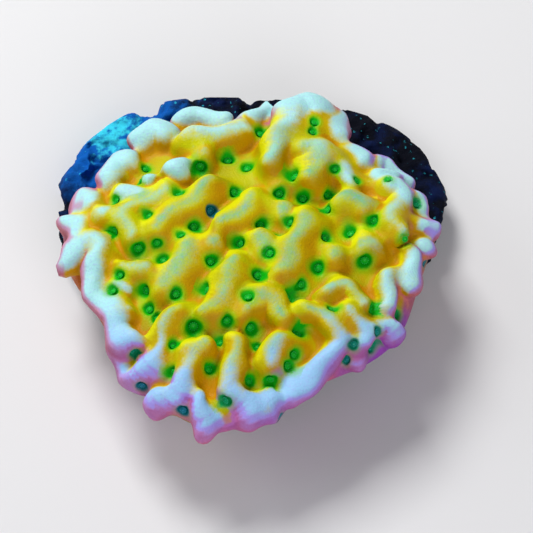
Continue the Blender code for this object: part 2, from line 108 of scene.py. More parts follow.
@dataclass(frozen=True)
class PhotoView:
    """The photograph's view, which places on the colony are read in."""

    elevation: float = math.radians(57.0)
    distance: float = 450.0
    mm_per_pixel: float = 0.0812
    axis_pixel: Pair = (250.0, 250.0)
    aim: Triple = (0.0, 0.0, 3.9)
    picture_pixels: float = 533.0
    sensor_mm: float = 36.0
    search_start: float = 30.0
    search_steps: int = 120
    search_share: float = 0.6
    stride_limits: Pair = (0.05, 2.0)
    touching: float = 0.01

    @property
    def rightwards(self) -> Array:
        """The direction to the right in the picture."""
        return np.array([1.0, 0.0, 0.0])

    @property
    def upwards(self) -> Array:
        """The direction up the picture."""
        return np.array([0.0, math.sin(self.elevation), math.cos(self.elevation)])

    @property
    def towards_eye(self) -> Array:
        """The direction from the colony to the eye."""
        return np.array([0.0, -math.cos(self.elevation), math.sin(self.elevation)])

    @property
    def eye(self) -> Array:
        """The eye's place, in millimetres."""
        return np.array(self.aim) + self.distance * self.towards_eye

    def point_at(self, pixel: Sequence[float]) -> Array:
        """Find the point of the aiming plane that a pixel shows.

        Args:
            pixel: Pixels across and down from the picture's top left.

        Returns:
            The point, in millimetres.
        """
        across = (pixel[0] - self.axis_pixel[0]) * self.mm_per_pixel
        up = (self.axis_pixel[1] - pixel[1]) * self.mm_per_pixel
        return np.array(self.aim) + across * self.rightwards + up * self.upwards

    def seen_at(self, pixels: Array, distance: Callable[[Array], Array], level: float) -> Array:
        """Find the first point on each line of sight where a distance falls to a level.

        Args:
            pixels: One pixel across and down in each row.
            distance: Gives the distance outside a surface at each row of points.
            level: The distance looked for.

        Returns:
            One point a row, or the nearest approach where the line passes by.
        """
        targets = np.array([self.point_at(pixel) for pixel in pixels])
        lines = unit(targets - self.eye)
        travel = np.full(len(pixels), self.distance - self.search_start)
        best = travel.copy()
        least = np.full(len(pixels), np.inf)
        for _ in range(self.search_steps):
            gap = distance(self.eye + lines * travel[:, None]) - level
            nearer = gap < least
            best[nearer] = travel[nearer]
            least = np.minimum(least, gap)
            stride = np.clip(gap * self.search_share, *self.stride_limits)
            travel += np.where(least < self.touching, 0.0, stride)
        return self.eye + lines * best[:, None]


VIEW = PhotoView()
TO_ORIGIN = np.array([-0.0865, 2.0317, 0.0])

ROCK_HEIGHT = 3.9
ROCK_RADII = (14.4, 16.5, 17.4, 17.5, 16.6, 15.8, 15.7, 16.2, 17.2, 17.5, 17.3, 16.3,
              14.5, 13.4, 12.9, 12.9, 13.3, 13.7, 13.9, 13.6, 12.9, 12.4, 12.3, 12.9)
ROCK_WALL_HEIGHT = 2.7
ROCK_SHOULDER_POWER = 4.0
ROCK_TOP_SHARE = 0.8
ROCK_FOOT_INSET = 1.1
ROCK_BULGE = 0.9
ROCK_HOLLOW = 1.3
ROCK_SEAT_SHARES = (0.8, 1.05)
ROCK_LUMP_SIZE = 3.1
ROCK_SEED = Vector((7.3, 2.1, 5.9))

SEAT = ROCK_HEIGHT + 0.02
BODY_CENTRE = (-0.4, -3.4)
BODY_RADII = (14.4, 15.5, 15.1, 14.3, 14.5, 14.5, 13.6, 14.1, 14.2, 14.0, 14.4, 14.9,
              14.2, 12.6, 12.5, 12.9, 13.7, 14.8, 14.3, 12.8, 12.0, 12.7, 13.6, 13.8)
OUTLINE_WAVES = 9
WIDEST = 5.7
CROWN = 3.5
KEEL = 2.4
PLAN_POWER = 2.6
HEIGHT_POWER = 2.2

# Each ridge, bead or lobe: its rise above the body, then the points of its crest as
# (pixel across, pixel down, half-width in millimetres).
RIDGES = {
    "back_left_lobe": (1.8, ((143, 127, 1.45), (151, 123, 1.5), (159, 124, 1.45))),
    "left_shoulder": (1.5, ((124, 154, 1.1), (111, 160, 1.25), (106, 173, 1.1))),
    "left_shoulder_bead": (1.3, ((123, 190, 0.8), (134, 190, 0.8))),
    "small_bead": (1.0, ((149, 175, 0.58),)),
    "round_bead": (1.9, ((176, 161, 1.2),)),
    "chevron": (1.4, ((163, 189, 0.75), (146, 196, 0.85), (126, 208, 0.85), (123, 219, 0.8),
                      (132, 231, 0.65))),
    "edge_bead": (1.6, ((104, 208, 1.1),)),
    "west_lobe_upper": (1.3, ((79, 196, 1.25), (88, 198, 1.1))),
    "west_lobe_lower": (1.3, ((65, 220, 1.1), (76, 221, 1.05))),
    "west_arch": (1.65, ((63, 259, 1.0), (71, 244, 1.0), (84, 236, 1.05), (95, 243, 1.15),
                        (94, 258, 1.1), (89, 274, 1.1), (90, 290, 1.0), (101, 302, 0.9),
                        (112, 314, 0.95), (113, 328, 1.0), (121, 336, 1.1), (133, 337, 0.8))),
    "west_floor": (0.6, ((109, 256, 1.0), (106, 273, 1.0), (110, 288, 0.9))),
    "west_spur": (1.1, ((112, 306, 0.7), (126, 310, 0.5))),
    "west_fall": (1.2, ((113, 338, 0.9), (112, 348, 0.9), (117, 361, 0.85), (119, 372, 0.8),
                        (127, 381, 0.8))),
    "left_small_ridge": (1.2, ((124, 263, 0.55), (137, 268, 0.8), (145, 270, 0.65))),
    "left_small_bead": (1.1, ((121, 286, 0.65),)),
    "back_lobe": (1.5, ((182, 111, 1.0), (197, 109, 1.05), (212, 110, 1.0), (223, 114, 0.8))),
    "back_wave": (1.8, ((197, 130, 1.4), (210, 130, 1.15), (222, 129, 0.95), (233, 127, 0.95),
                        (242, 123, 0.85))),
    "back_notch": (0.8, ((262, 131, 1.0),)),
    "back_wave_spur": (1.5, ((197, 139, 1.2), (203, 150, 0.9))),
    "back_rim_ridge": (1.6, ((251, 113, 0.9), (260, 106, 1.05), (270, 101, 1.1),
                             (280, 100, 0.9))),
    "summit_swell": (1.4, ((309, 105, 1.5), (299, 122, 1.5), (289, 138, 1.3))),
    "summit_ridge": (2.6, ((313, 98, 1.3), (302, 95, 1.4), (292, 106, 1.3), (284, 122, 1.2),
                           (278, 137, 1.15), (271, 151, 0.95))),
    "summit_foot": (1.2, ((277, 150, 1.6), (276, 165, 1.6), (280, 177, 1.3))),
    "summit_mound": (2.0, ((319, 107, 1.3), (315, 121, 1.3), (304, 129, 1.1))),
    "summit_knoll": (2.3, ((307, 141, 1.15), (321, 145, 1.4), (316, 157, 1.4),
                           (309, 169, 1.1))),
    "knoll_spur": (1.5, ((332, 158, 0.8), (346, 168, 0.8), (351, 176, 0.6))),
    "back_right_lobe": (1.9, ((338, 112, 1.25), (338, 126, 1.2))),
    "right_shoulder_lobe": (1.6, ((353, 147, 1.1), (361, 153, 1.1))),
    "north_east_lobe": (1.1, ((380, 160, 0.85), (395, 164, 0.95), (408, 177, 0.85))),
    "north_east_bead": (1.3, ((381, 170, 0.6), (392, 172, 0.65))),
    "thin_crest": (0.9, ((360, 177, 0.5), (371, 181, 0.5), (386, 184, 0.55))),
    "east_ridge": (1.8, ((391, 184, 0.95), (404, 187, 1.0), (398, 203, 1.15), (395, 219, 1.05),
                         (401, 230, 0.6), (405, 237, 0.5))),
    "east_lobe_upper": (1.2, ((421, 194, 0.85), (427, 203, 0.8))),
    "east_lobe_middle": (1.3, ((422, 220, 0.75), (432, 223, 0.95))),
    "east_lobe_lower": (1.2, ((430, 246, 0.85),)),
    "east_dome": (1.8, ((352, 196, 1.6), (362, 201, 1.5))),
    "long_diagonal": (1.5, ((212, 180, 0.7), (205, 184, 0.85), (192, 195, 0.95),
                            (178, 205, 1.0), (166, 214, 1.05), (157, 223, 0.95))),
    "short_diagonal": (1.4, ((253, 196, 1.05), (243, 205, 1.0), (232, 214, 0.95),
                             (222, 222, 0.7))),
    "left_middle_ridge": (1.4, ((187, 244, 1.4), (184, 257, 1.4), (173, 270, 1.3),
                                (163, 281, 1.15))),
    "middle_bead_left": (1.4, ((213, 238, 1.15),)),
    "centre_left_ridge": (1.6, ((235, 260, 1.1), (229, 274, 1.3), (224, 289, 1.3),
                                (217, 302, 1.1), (207, 310, 0.7))),
    "middle_bead": (1.5, ((260, 237, 1.15), (266, 240, 1.15))),
    "upper_bead": (1.3, ((281, 207, 1.1),)),
    "centre_right_ridge": (1.7, ((306, 214, 1.05), (302, 227, 1.0), (294, 240, 1.05),
                                 (287, 253, 1.1), (281, 266, 1.2))),
    "right_bead": (1.4, ((337, 251, 1.3),)),
    "right_far_bead": (1.4, ((370, 240, 1.5),)),
    "centre_mound": (1.6, ((244, 308, 0.8), (255, 299, 1.05), (265, 294, 1.2), (276, 300, 1.1),
                           (284, 310, 0.8))),
    "right_hook": (1.4, ((330, 289, 0.8), (340, 284, 0.9), (348, 284, 0.8), (355, 292, 0.6),
                         (364, 300, 0.55))),
    "south_east_sweep": (1.7, ((309, 307, 0.75), (322, 312, 0.75), (334, 322, 0.8),
                               (341, 334, 0.9), (337, 346, 0.95), (331, 358, 1.1),
                               (321, 371, 1.1), (308, 383, 1.15), (294, 393, 1.1))),
    "south_east_hook": (1.6, ((351, 311, 0.75), (361, 318, 0.9), (368, 329, 0.95),
                              (366, 338, 0.9))),
    "east_rim_ridge": (1.5, ((413, 254, 0.85), (416, 268, 0.95), (416, 280, 0.85))),
    "east_inner_ridge": (1.4, ((390, 276, 0.8), (390, 290, 0.9), (391, 302, 0.8))),
    "east_bridge": (1.0, ((396, 271, 0.6), (407, 266, 0.6))),
    "south_east_lobe": (1.2, ((379, 325, 0.6), (391, 325, 0.8), (399, 334, 0.85))),
    "south_east_foot": (0.8, ((365, 358, 0.9),)),
    "south_west_ridge": (1.5, ((178, 307, 0.65), (171, 314, 0.75), (165, 325, 0.7),
                               (159, 335, 0.65), (157, 346, 0.7), (151, 357, 0.9),
                               (143, 367, 1.0), (133, 375, 0.8), (126, 380, 0.8))),
    "south_bend": (1.6, ((204, 341, 0.65), (192, 347, 0.85), (188, 360, 0.9), (186, 373, 0.85),
                         (183, 385, 0.85), (174, 395, 0.95), (164, 401, 1.15),
                         (157, 406, 1.2))),
    "south_finger": (1.6, ((200, 399, 0.65), (202, 412, 0.9), (205, 425, 1.2))),
    "south_cleft_left": (0.8, ((185, 408, 0.9),)),
    "south_cleft_right": (0.9, ((222, 412, 0.95), (226, 422, 0.95))),
    "south_ridge": (1.6, ((237, 340, 0.8), (236, 353, 0.9), (232, 367, 0.8), (231, 382, 0.9),
                          (239, 395, 0.85), (249, 408, 1.1), (253, 418, 1.15))),
    "south_knob": (1.5, ((268, 400, 1.0), (269, 411, 1.0))),
    "south_rim_link": (1.4, ((253, 414, 1.1), (268, 412, 1.0))),
    "south_short_ridge": (1.5, ((282, 337, 0.85), (276, 348, 0.8), (269, 360, 0.8))),
}
# The swellings that have no pale crest.
PLAIN_RIDGES = ("back_notch", "summit_swell", "summit_mound", "summit_foot", "west_floor",
                "south_cleft_left", "south_cleft_right")
# The beads and lobes that are pale nearly all over.
CAPPED_RIDGES = ("round_bead", "small_bead", "left_shoulder_bead", "knoll_spur",
                 "left_small_bead", "north_east_bead")
# The inner ridges whose pale line is broad.
BROAD_RIDGES = ("chevron", "left_small_ridge", "right_hook", "summit_ridge")
# The inner ridges fall away gently on their right, where a wide low swelling lies along
# each: its shift in pixels and added half-width, and its share of the ridge's rise.
LEE_RIDGES = ("long_diagonal", "short_diagonal", "left_middle_ridge", "centre_left_ridge",
              "centre_right_ridge", "south_short_ridge", "south_west_ridge", "chevron")
LEE_SHIFT = (11.0, 5.0, 0.3)
LEE_RISE_SHARE = 0.55
MIDDLE_BLEND = 0.9
RIM_BLEND = 0.95
BLEND_SHARES = (0.5, 0.82)
RIDGE_REACH = 3.0
CREST_STEPS = 3

# Slow ripples that keep the ridges from running straight and even: wave length in
# millimetres, the way the wave runs, its phase, and its push in millimetres.
RIPPLES = (
    (3.1, (1.0, 0.3, 0.5), 0.4, (0.00, 0.14, 0.05)),
    (2.6, (-0.4, 1.0, 0.2), 1.9, (0.13, 0.00, -0.05)),
    (4.3, (0.8, -0.7, 0.4), 3.3, (0.12, 0.12, 0.00)),
    (3.7, (0.2, 0.9, -0.6), 5.2, (-0.12, 0.08, 0.08)),
)

# Each pit that the view shows: (pixel across, pixel down, radius in millimetres).
PITS = (
    (138, 250, 0.6), (157, 244, 0.45), (163, 259, 0.5), (113, 232, 0.5), (119, 275, 0.45),
    (112, 290, 0.45), (145, 291, 0.53), (149, 309, 0.5), (157, 318, 0.45), (177, 294, 0.53),
    (205, 289, 0.48), (212, 261, 0.53), (239, 243, 0.53), (195, 227, 0.53), (181, 234, 0.36),
    (212, 211, 0.53), (148, 215, 0.42), (146, 168, 0.42), (138, 181, 0.36), (115, 200, 0.42),
    (179, 192, 0.5), (262, 225, 0.53), (289, 222, 0.46), (278, 236, 0.36), (269, 253, 0.53),
    (259, 275, 0.56), (248, 295, 0.53), (291, 296, 0.57), (303, 285, 0.48), (318, 268, 0.57),
    (327, 237, 0.5), (350, 232, 0.53), (365, 262, 0.6), (373, 221, 0.5), (406, 240, 0.46),
    (333, 308, 0.42), (374, 309, 0.53), (396, 314, 0.5), (379, 332, 0.42), (372, 347, 0.5),
    (354, 345, 0.46), (346, 360, 0.42), (299, 332, 0.6), (296, 355, 0.5), (290, 366, 0.53),
    (282, 418, 0.42), (270, 382, 0.53), (250, 381, 0.5), (257, 347, 0.38), (252, 329, 0.56),
    (228, 322, 0.53), (219, 342, 0.5), (194, 328, 0.68), (174, 345, 0.42), (172, 373, 0.5),
    (210, 369, 0.5), (183, 412, 0.5), (224, 402, 0.53), (230, 432, 0.42), (142, 388, 0.5),
    (135, 353, 0.46), (293, 175, 0.56), (280, 194, 0.53), (303, 198, 0.53), (329, 195, 0.46),
    (326, 209, 0.46), (335, 169, 0.42), (358, 180, 0.36), (388, 178, 0.36), (417, 203, 0.46),
    (426, 263, 0.38), (315, 121, 0.42), (313, 131, 0.4), (261, 132, 0.53), (236, 192, 0.53),
    (247, 167, 0.5), (228, 159, 0.53), (200, 168, 0.6),
)
# Pits on the side that the view does not show: (degrees round from +X, height).
BACK_PITS = ((28, 5.6), (44, 6.6), (57, 5.4), (70, 6.4), (83, 5.5), (96, 6.5), (109, 5.5),
             (123, 6.4), (137, 5.6), (151, 5.4), (166, 5.5))
BACK_PIT_RADIUS = 0.46
BLUE_PITS = ((212, 211),)
PIT_DEPTH = 0.85
PIT_FLOOR = 0.45
PIT_LIP = 1.25
PIT_WAVES = ((3, 0.05, 1.7), (2, 0.06, 0.6))
PIT_BAND = 1.6
FAR_FROM_PITS = 3.0
BLUE_SHARES = (0.9, 1.01)
PROFILE_STEPS = 400


def unit(vectors: Array) -> Array:
    """Bring vectors to length one.

    Args:
        vectors: One vector a row.

    Returns:
        The same directions, each one long.
    """
    return vectors / np.maximum(np.linalg.norm(vectors, axis=-1, keepdims=True), 1e-9)


def smooth_share(values: Array, low: float, high: float) -> Array:
    """Ease from 0 at low to 1 at high.

    Args:
        values: The numbers to ease.
        low: Where the result leaves 0.
        high: Where the result reaches 1.

    Returns:
        One share for each value.
    """
    share = np.clip((values - low) / (high - low), 0.0, 1.0)
    return share * share * (3 - 2 * share)


def outline_radius(angles: Array, radii: Sequence[float]) -> Array:
    """Follow a smooth closed outline through evenly spaced radii.

    Args:
        angles: Angles round from +X, in radians.
        radii: The outline's radii at even steps from +X.

    Returns:
        The outline's radius at each angle.
    """
    waves = np.fft.rfft(radii) / len(radii)
    total = np.full(np.shape(angles), waves[0].real)
    for order in range(1, OUTLINE_WAVES + 1):
        turned = order * angles
        total += 2 * (waves[order].real * np.cos(turned) - waves[order].imag * np.sin(turned))
    return total


def body_field(points: Array) -> tuple[Array, Array, Array]:
    """Measure the plain body, near its surface.

    Args:
        points: One point a row, in millimetres.

    Returns:
        The distance outside the body, the outward direction, and the share of the way out
        to the body's outline, at each point.
    """
    across = points[:, :2] - np.array(BODY_CENTRE)
    radius = np.maximum(np.hypot(across[:, 0], across[:, 1]), 1e-6)
    outline = outline_radius(np.arctan2(across[:, 1], across[:, 0]), BODY_RADII)
    height = points[:, 2] - WIDEST
    half = np.where(height > 0, CROWN, KEEL)
    plan = radius / outline
    rise = np.maximum(np.abs(height) / half, 1e-6)
    total = np.maximum(plan**PLAN_POWER + rise**HEIGHT_POWER, 1e-9)
    level = total ** (1 / PLAN_POWER)
    outwards = level / total * plan ** (PLAN_POWER - 1) / outline
    upwards = level / total * HEIGHT_POWER / PLAN_POWER * rise ** (HEIGHT_POWER - 1) / half
    normal = np.column_stack((
        outwards * across[:, 0] / radius,
        outwards * across[:, 1] / radius,
        upwards * np.sign(height),
    ))
    steepness = np.linalg.norm(normal, axis=1)
    return (level - 1) / steepness, normal / steepness[:, None], plan


def rounded_crest(rows: Array) -> Array:
    """Put more rows between a crest's rows, along a smooth curve through them all.

    Args:
        rows: Pixel across, pixel down and half-width in each row.

    Returns:
        The longer list of rows.
    """
    if len(rows) < 3:
        return rows
    ends = np.vstack((2 * rows[0] - rows[1], rows, 2 * rows[-1] - rows[-2]))
    curve = []
    for before, start, end, after in zip(ends[:-3], ends[1:-2], ends[2:-1], ends[3:]):
        for step in range(CREST_STEPS):
            t = step / CREST_STEPS
            bend = 2 * before - 5 * start + 4 * end - after
            twist = 3 * start - 3 * end + after - before
            curve.append(start + 0.5 * (t * (end - before) + t**2 * bend + t**3 * twist))
    return np.vstack((curve, rows[-1]))


def rippled(points: Array) -> Array:
    """Push points to and fro by the ripples.

    Args:
        points: One point a row.

    Returns:
        The pushed points.
    """
    moved = points.copy()
    for length, way, phase, push in RIPPLES:
        turns = math.tau / (length * math.hypot(*way))
        moved += np.sin(points @ np.array(way) * turns + phase)[:, None] * np.array(push)
    return moved


def ridge_field(points: Array, axis: Array) -> tuple[Array, Array]:
    """Measure one ridge: a chain of tapering round bars.

    Args:
        points: One point a row.
        axis: The chain's x, y, z and half-width in each row.

    Returns:
        The distance outside the ridge and the outward direction at each point.
    """
    starts = axis[:-1] if len(axis) > 1 else axis
    ends = axis[1:] if len(axis) > 1 else axis
    nearest = np.full(len(points), np.inf)
    outwards = np.zeros_like(points)
    for start, end in zip(starts, ends):
        run = end[:3] - start[:3]
        along = np.clip((points - start[:3]) @ run / max(run @ run, 1e-9), 0, 1)
        offset = points - start[:3] - along[:, None] * run
        apart = np.sqrt((offset * offset).sum(axis=1)) + 1e-9
        distance = apart - start[3] - along * (end[3] - start[3])
        closer = distance < nearest
        nearest[closer] = distance[closer]
        outwards[closer] = offset[closer] / apart[closer, None]
    return nearest, outwards


@dataclass
class ColonyField:
    """The colony's shape as a distance: its body and ridges, blended where they meet."""

    axes: list[Array] = field(default_factory=list)
    kinds: list[Crest] = field(default_factory=list)
    thin_share: float = 1.6
    root_depth: float = 0.8
    rooted_share: float = 0.84
    crest_lean: float = 1.2
    rim_shares: Pair = (0.8, 1.02)
    line_width: float = 1.3
    cap_facing: Pair = (-0.3, 0.75)
    cap_edge: Pair = (-0.4, 0.0)
    pale_shares: Pair = (0.3, 0.95)
    plain_shares: Pair = (0.5, 1.0)
    plain_fade: float = 0.7

    def __post_init__(self) -> None:
        """Lay every ridge's axis under its crest as the photograph shows it."""
        for name, (rise, crest) in RIDGES.items():
            rows = rounded_crest(np.array(crest, float))
            kind = Crest.LINED
            if name in PLAIN_RIDGES:
                kind = Crest.PLAIN
            elif name in CAPPED_RIDGES:
                kind = Crest.CAPPED
            elif name in BROAD_RIDGES:
                kind = Crest.BROAD
            self.add_axis(rows, rise, kind)
            if name in LEE_RIDGES:
                self.add_axis(rows + LEE_SHIFT, rise * LEE_RISE_SHARE, Crest.PLAIN)

    def add_axis(self, rows: Array, rise: float, kind: Crest) -> None:
        """Lay one axis under its crest.

        A ridge that is thin for its height also has a root where it is well inside the rim,
        so that it stands as a fin.

        Args:
            rows: The crest's pixels across and down, and its half-width.
            rise: How far the crest rises above the body.
            kind: How far its pale crest spreads.
        """
        top = VIEW.seen_at(rows[:, :2], lambda p: body_field(p)[0], rise)
        outwards, shares = body_field(top)[1:]
        middle = top - outwards * rows[:, 2:3]
        thinnest = rows[:, 2].min()
        rooted = shares < self.rooted_share
        if kind is not Crest.PLAIN and rise > self.thin_share * thinnest and rooted.sum() > 1:
            root = middle - outwards * self.root_depth * thinnest
            self.axes.append(np.column_stack((root, rows[:, 2]))[rooted])
            self.kinds.append(Crest.PLAIN)
        self.axes.append(np.column_stack((middle, rows[:, 2])))
        self.kinds.append(kind)

    def measure(self, points: Array) -> tuple[Array, Array, Array]:
        """Measure the colony at each point.

        Args:
            points: One point a row.

        Returns:
            The distance outside, the outward direction, and how far each point is up on a
            crest, from 0 to 1.
        """
        distance, outwards, share = body_field(points)
        outer = np.clip((share - BLEND_SHARES[0]) / (BLEND_SHARES[1] - BLEND_SHARES[0]), 0, 1)
        blend = MIDDLE_BLEND + (RIM_BLEND - MIDDLE_BLEND) * outer
        moved = rippled(points)
        up = outwards.copy()
        up[:, 2] += self.crest_lean
        up = unit(up)
        crest = np.zeros(len(points))
        rim = smooth_share(share, *self.rim_shares)
        for axis, kind in zip(self.axes, self.kinds):
            low = axis[:, :3].min(axis=0) - RIDGE_REACH
            high = axis[:, :3].max(axis=0) + RIDGE_REACH
            near = np.nonzero(((moved > low) & (moved < high)).all(axis=1))[0]
            if len(near) == 0:
                continue
            ridge, ridge_outwards = ridge_field(moved[near], axis)
            body, body_outwards = distance[near], outwards[near]
            width = blend[near]
            overlap = np.maximum(width - np.abs(ridge - body), 0) / width
            distance[near] = np.minimum(ridge, body) - overlap**2 * width / 4
            share = np.where(ridge < body, 1 - overlap / 2, overlap / 2)
            outwards[near] = (share[:, None] * ridge_outwards
                              + (1 - share[:, None]) * body_outwards)
            if kind is Crest.PLAIN:
                crest[near] *= 1 - self.plain_fade * smooth_share(share, *self.plain_shares)
                continue
            facing = (ridge_outwards * up[near]).sum(axis=1)
            cap = np.maximum(rim[near], kind.value)
            aside = np.where(facing > 0, np.sqrt(np.clip(1 - facing**2, 0, 1)), 1.0)
            line = np.clip(1 - aside / self.line_width, 0, 1)
            spread = line + (smooth_share(facing, *self.cap_facing) - line) * cap
            pale = smooth_share(share, *self.pale_shares) * spread
            crest[near] = np.maximum(crest[near], pale)
        return distance, outwards, crest

    def capped(self, points: Array) -> Array:
        """Tell which points lie on the ridges and beads that are broadly pale.

        Args:
            points: One point a row.

        Returns:
            From 0 off them to 1 on the palest.
        """
        moved = rippled(points)
        most = np.zeros(len(points))
        for axis, kind in zip(self.axes, self.kinds):
            if kind.value > 0:
                on = smooth_share(-ridge_field(moved, axis)[0], *self.cap_edge)
                most = np.maximum(most, on * math.sqrt(kind.value))
        return most

    def distance(self, points: Array) -> Array:
        """Measure only the distance outside.

        Args:
            points: One point a row.

        Returns:
            The distance outside the colony at each point.
        """
        return self.measure(points)[0]


@dataclass
class PitSet:
    """The polyps' pits: centres on the surface, outward directions and radii."""

    shape: ColonyField
    centres: Array = field(init=False)
    outwards: Array = field(init=False)
    radii: Array = field(init=False)
    blues: Array = field(init=False)

    def __post_init__(self) -> None:
        """Find every pit's place on the finished surface, and which are blue."""
        seen = np.array(PITS, float)
        centres = VIEW.seen_at(seen[:, :2], self.shape.distance, 0.0)
        turns = np.radians([degrees for degrees, _ in BACK_PITS])
        heading = np.column_stack((np.cos(turns), np.sin(turns), np.zeros(len(turns))))
        hidden = heading * (max(BODY_RADII) + RIDGE_REACH)
        hidden[:, :2] += BODY_CENTRE
        hidden[:, 2] = [height for _, height in BACK_PITS]
        for _ in range(VIEW.search_steps):
            hidden -= heading * VIEW.search_share * self.shape.distance(hidden)[:, None]
        self.centres = np.vstack((centres, hidden))
        self.radii = np.concatenate((seen[:, 2], np.full(len(hidden), BACK_PIT_RADIUS)))
        self.outwards = unit(self.shape.measure(self.centres)[1])
        self.blues = rim_blue(body_field(self.centres)[2])
        for index, row in enumerate(PITS):
            if row[:2] in BLUE_PITS:
                self.blues[index] = 1.0

    def sink(self, points: Array) -> tuple[Array, Array, Array]:
        """Press a roundish pit into the surface for every polyp.

        Args:
            points: The surface's points.

        Returns:
            The pressed points, how many pit radii each lies from its nearest pit, and how
            blue that pit is.
        """
        reach = np.full(len(points), FAR_FROM_PITS)
        pressed = points.copy()
        blue = np.zeros(len(points))
        for number, (centre, outwards, radius) in enumerate(
                zip(self.centres, self.outwards, self.radii)):
            offset = points - centre
            lift = offset @ outwards
            flat = offset - lift[:, None] * outwards
            turn = np.arctan2(flat[:, 1], flat[:, 0])
            swell = 1 + sum(size * np.sin(count * turn + shift * number)
                            for count, size, shift in PIT_WAVES)
            apart = np.linalg.norm(flat, axis=1) / (radius * swell)
            here = np.abs(lift) < radius * PIT_BAND
            blue = np.where(here & (apart < reach), self.blues[number], blue)
            reach = np.where(here, np.minimum(reach, apart), reach)
            near = here & (apart < PIT_LIP) & (points[:, 2] > SEAT)
            fall = np.clip((PIT_LIP - apart[near]) / (PIT_LIP - PIT_FLOOR), 0, 1)
            depth = PIT_DEPTH * radius * fall**2 * (3 - 2 * fall)
            pressed[near] -= depth[:, None] * outwards
        pressed[:, 2] = np.maximum(pressed[:, 2], SEAT)
        return pressed, reach, blue


def disc_of_square(square: Array) -> tuple[Array, Array]:
    """Move a square grid's points onto a unit disc.

    Args:
        square: Points from -1 to 1 both ways, one a row.

    Returns:
        Each point's radius and angle on the disc.
    """
    x, y = square[:, 0], square[:, 1]
    wide = np.abs(x) >= np.abs(y)
    radius = np.where(wide, x, y)
    safe = np.where(np.abs(radius) < 1e-9, 1.0, radius)
    angle = np.where(wide, y / safe, 2 - x / safe) * math.pi / 4
    return np.abs(radius), angle + np.where(radius < 0, math.pi, 0)


def grid_square(cells: int) -> Array:
    """List a square grid's points row by row.

    Args:
        cells: How many cells the grid has each way.

    Returns:
        The points, from -1 to 1 both ways.
    """
    ticks = np.linspace(-1.0, 1.0, cells + 1)
    down, across = np.meshgrid(ticks, ticks, indexing="ij")
    return np.column_stack((across.ravel(), down.ravel()))


def finer(sheet: Array) -> Array:
    """Double a sheet of points both ways.

    Args:
        sheet: Points as rows, columns and x, y, z.

    Returns:
        The sheet with a point halfway between each two.
    """
    rows, columns, depth = sheet.shape
    tall = np.empty((2 * rows - 1, columns, depth))
    tall[::2] = sheet
    tall[1::2] = (sheet[:-1] + sheet[1:]) / 2
    wide = np.empty((2 * rows - 1, 2 * columns - 1, depth))
    wide[:, ::2] = tall
    wide[:, 1::2] = (tall[:, :-1] + tall[:, 1:]) / 2
    return wide


def neighbour_mean(sheet: Array) -> Array:
    """Average each point's neighbours up, down and to both sides.

    Args:
        sheet: Values as rows, columns and anything more.

    Returns:
        A sheet of the same shape.
    """
    total = np.zeros_like(sheet)
    count = np.zeros(sheet.shape[:2])
    for shift in ((1, 0), (-1, 0), (0, 1), (0, -1)):
        to_rows = slice(max(shift[0], 0), sheet.shape[0] + min(shift[0], 0))
        from_rows = slice(max(-shift[0], 0), sheet.shape[0] + min(-shift[0], 0))
        to_columns = slice(max(shift[1], 0), sheet.shape[1] + min(shift[1], 0))
        from_columns = slice(max(-shift[1], 0), sheet.shape[1] + min(-shift[1], 0))
        total[to_rows, to_columns] += sheet[from_rows, from_columns]
        count[to_rows, to_columns] += 1
    return total / count.reshape(count.shape + (1,) * (sheet.ndim - 2))


def body_sheet(cells: int) -> Array:
    """Lay a sheet of points over the plain body, from its crown down to its seat.

    Args:
        cells: How many cells the sheet has each way.

    Returns:
        The sheet, as rows, columns and x, y, z.
    """
    share, angles = disc_of_square(grid_square(cells))
    turn = np.linspace(0, math.pi, PROFILE_STEPS)
    plan = np.sin(turn) ** (2 / PLAN_POWER)
    cosine = np.cos(turn)
    half = np.where(cosine > 0, CROWN, KEEL)
    height = WIDEST + np.sign(cosine) * half * np.abs(cosine) ** (2 / HEIGHT_POWER)
    kept = height >= SEAT
    plan, height = plan[kept], height[kept]
    steps = np.hypot(np.diff(plan) * np.mean(BODY_RADII), np.diff(height))
    run = np.concatenate(([0.0], np.cumsum(steps)))
    at = share * run[-1]
    radius = np.interp(at, run, plan) * outline_radius(angles, BODY_RADII)
    points = np.column_stack((
        BODY_CENTRE[0] + radius * np.cos(angles),
        BODY_CENTRE[1] + radius * np.sin(angles),
        np.interp(at, run, height),
    ))
    return points.reshape(cells + 1, cells + 1, 3)


@dataclass(frozen=True)
class Finish:
    """A node-built material for one slot."""

    name: str
    slot: Slot
    roughness: float

    def start(self) -> "NodeBench":
        """Make the material with an empty bench of nodes.

        Returns:
            The bench to build the nodes on.
        """
        material = bpy.data.materials.new(self.name)
        material.use_nodes = True
        bench = NodeBench(material)
        bench.shader.inputs["Roughness"].default_value = self.roughness
        bench.shader.inputs["Metallic"].default_value = 0.0
        return bench


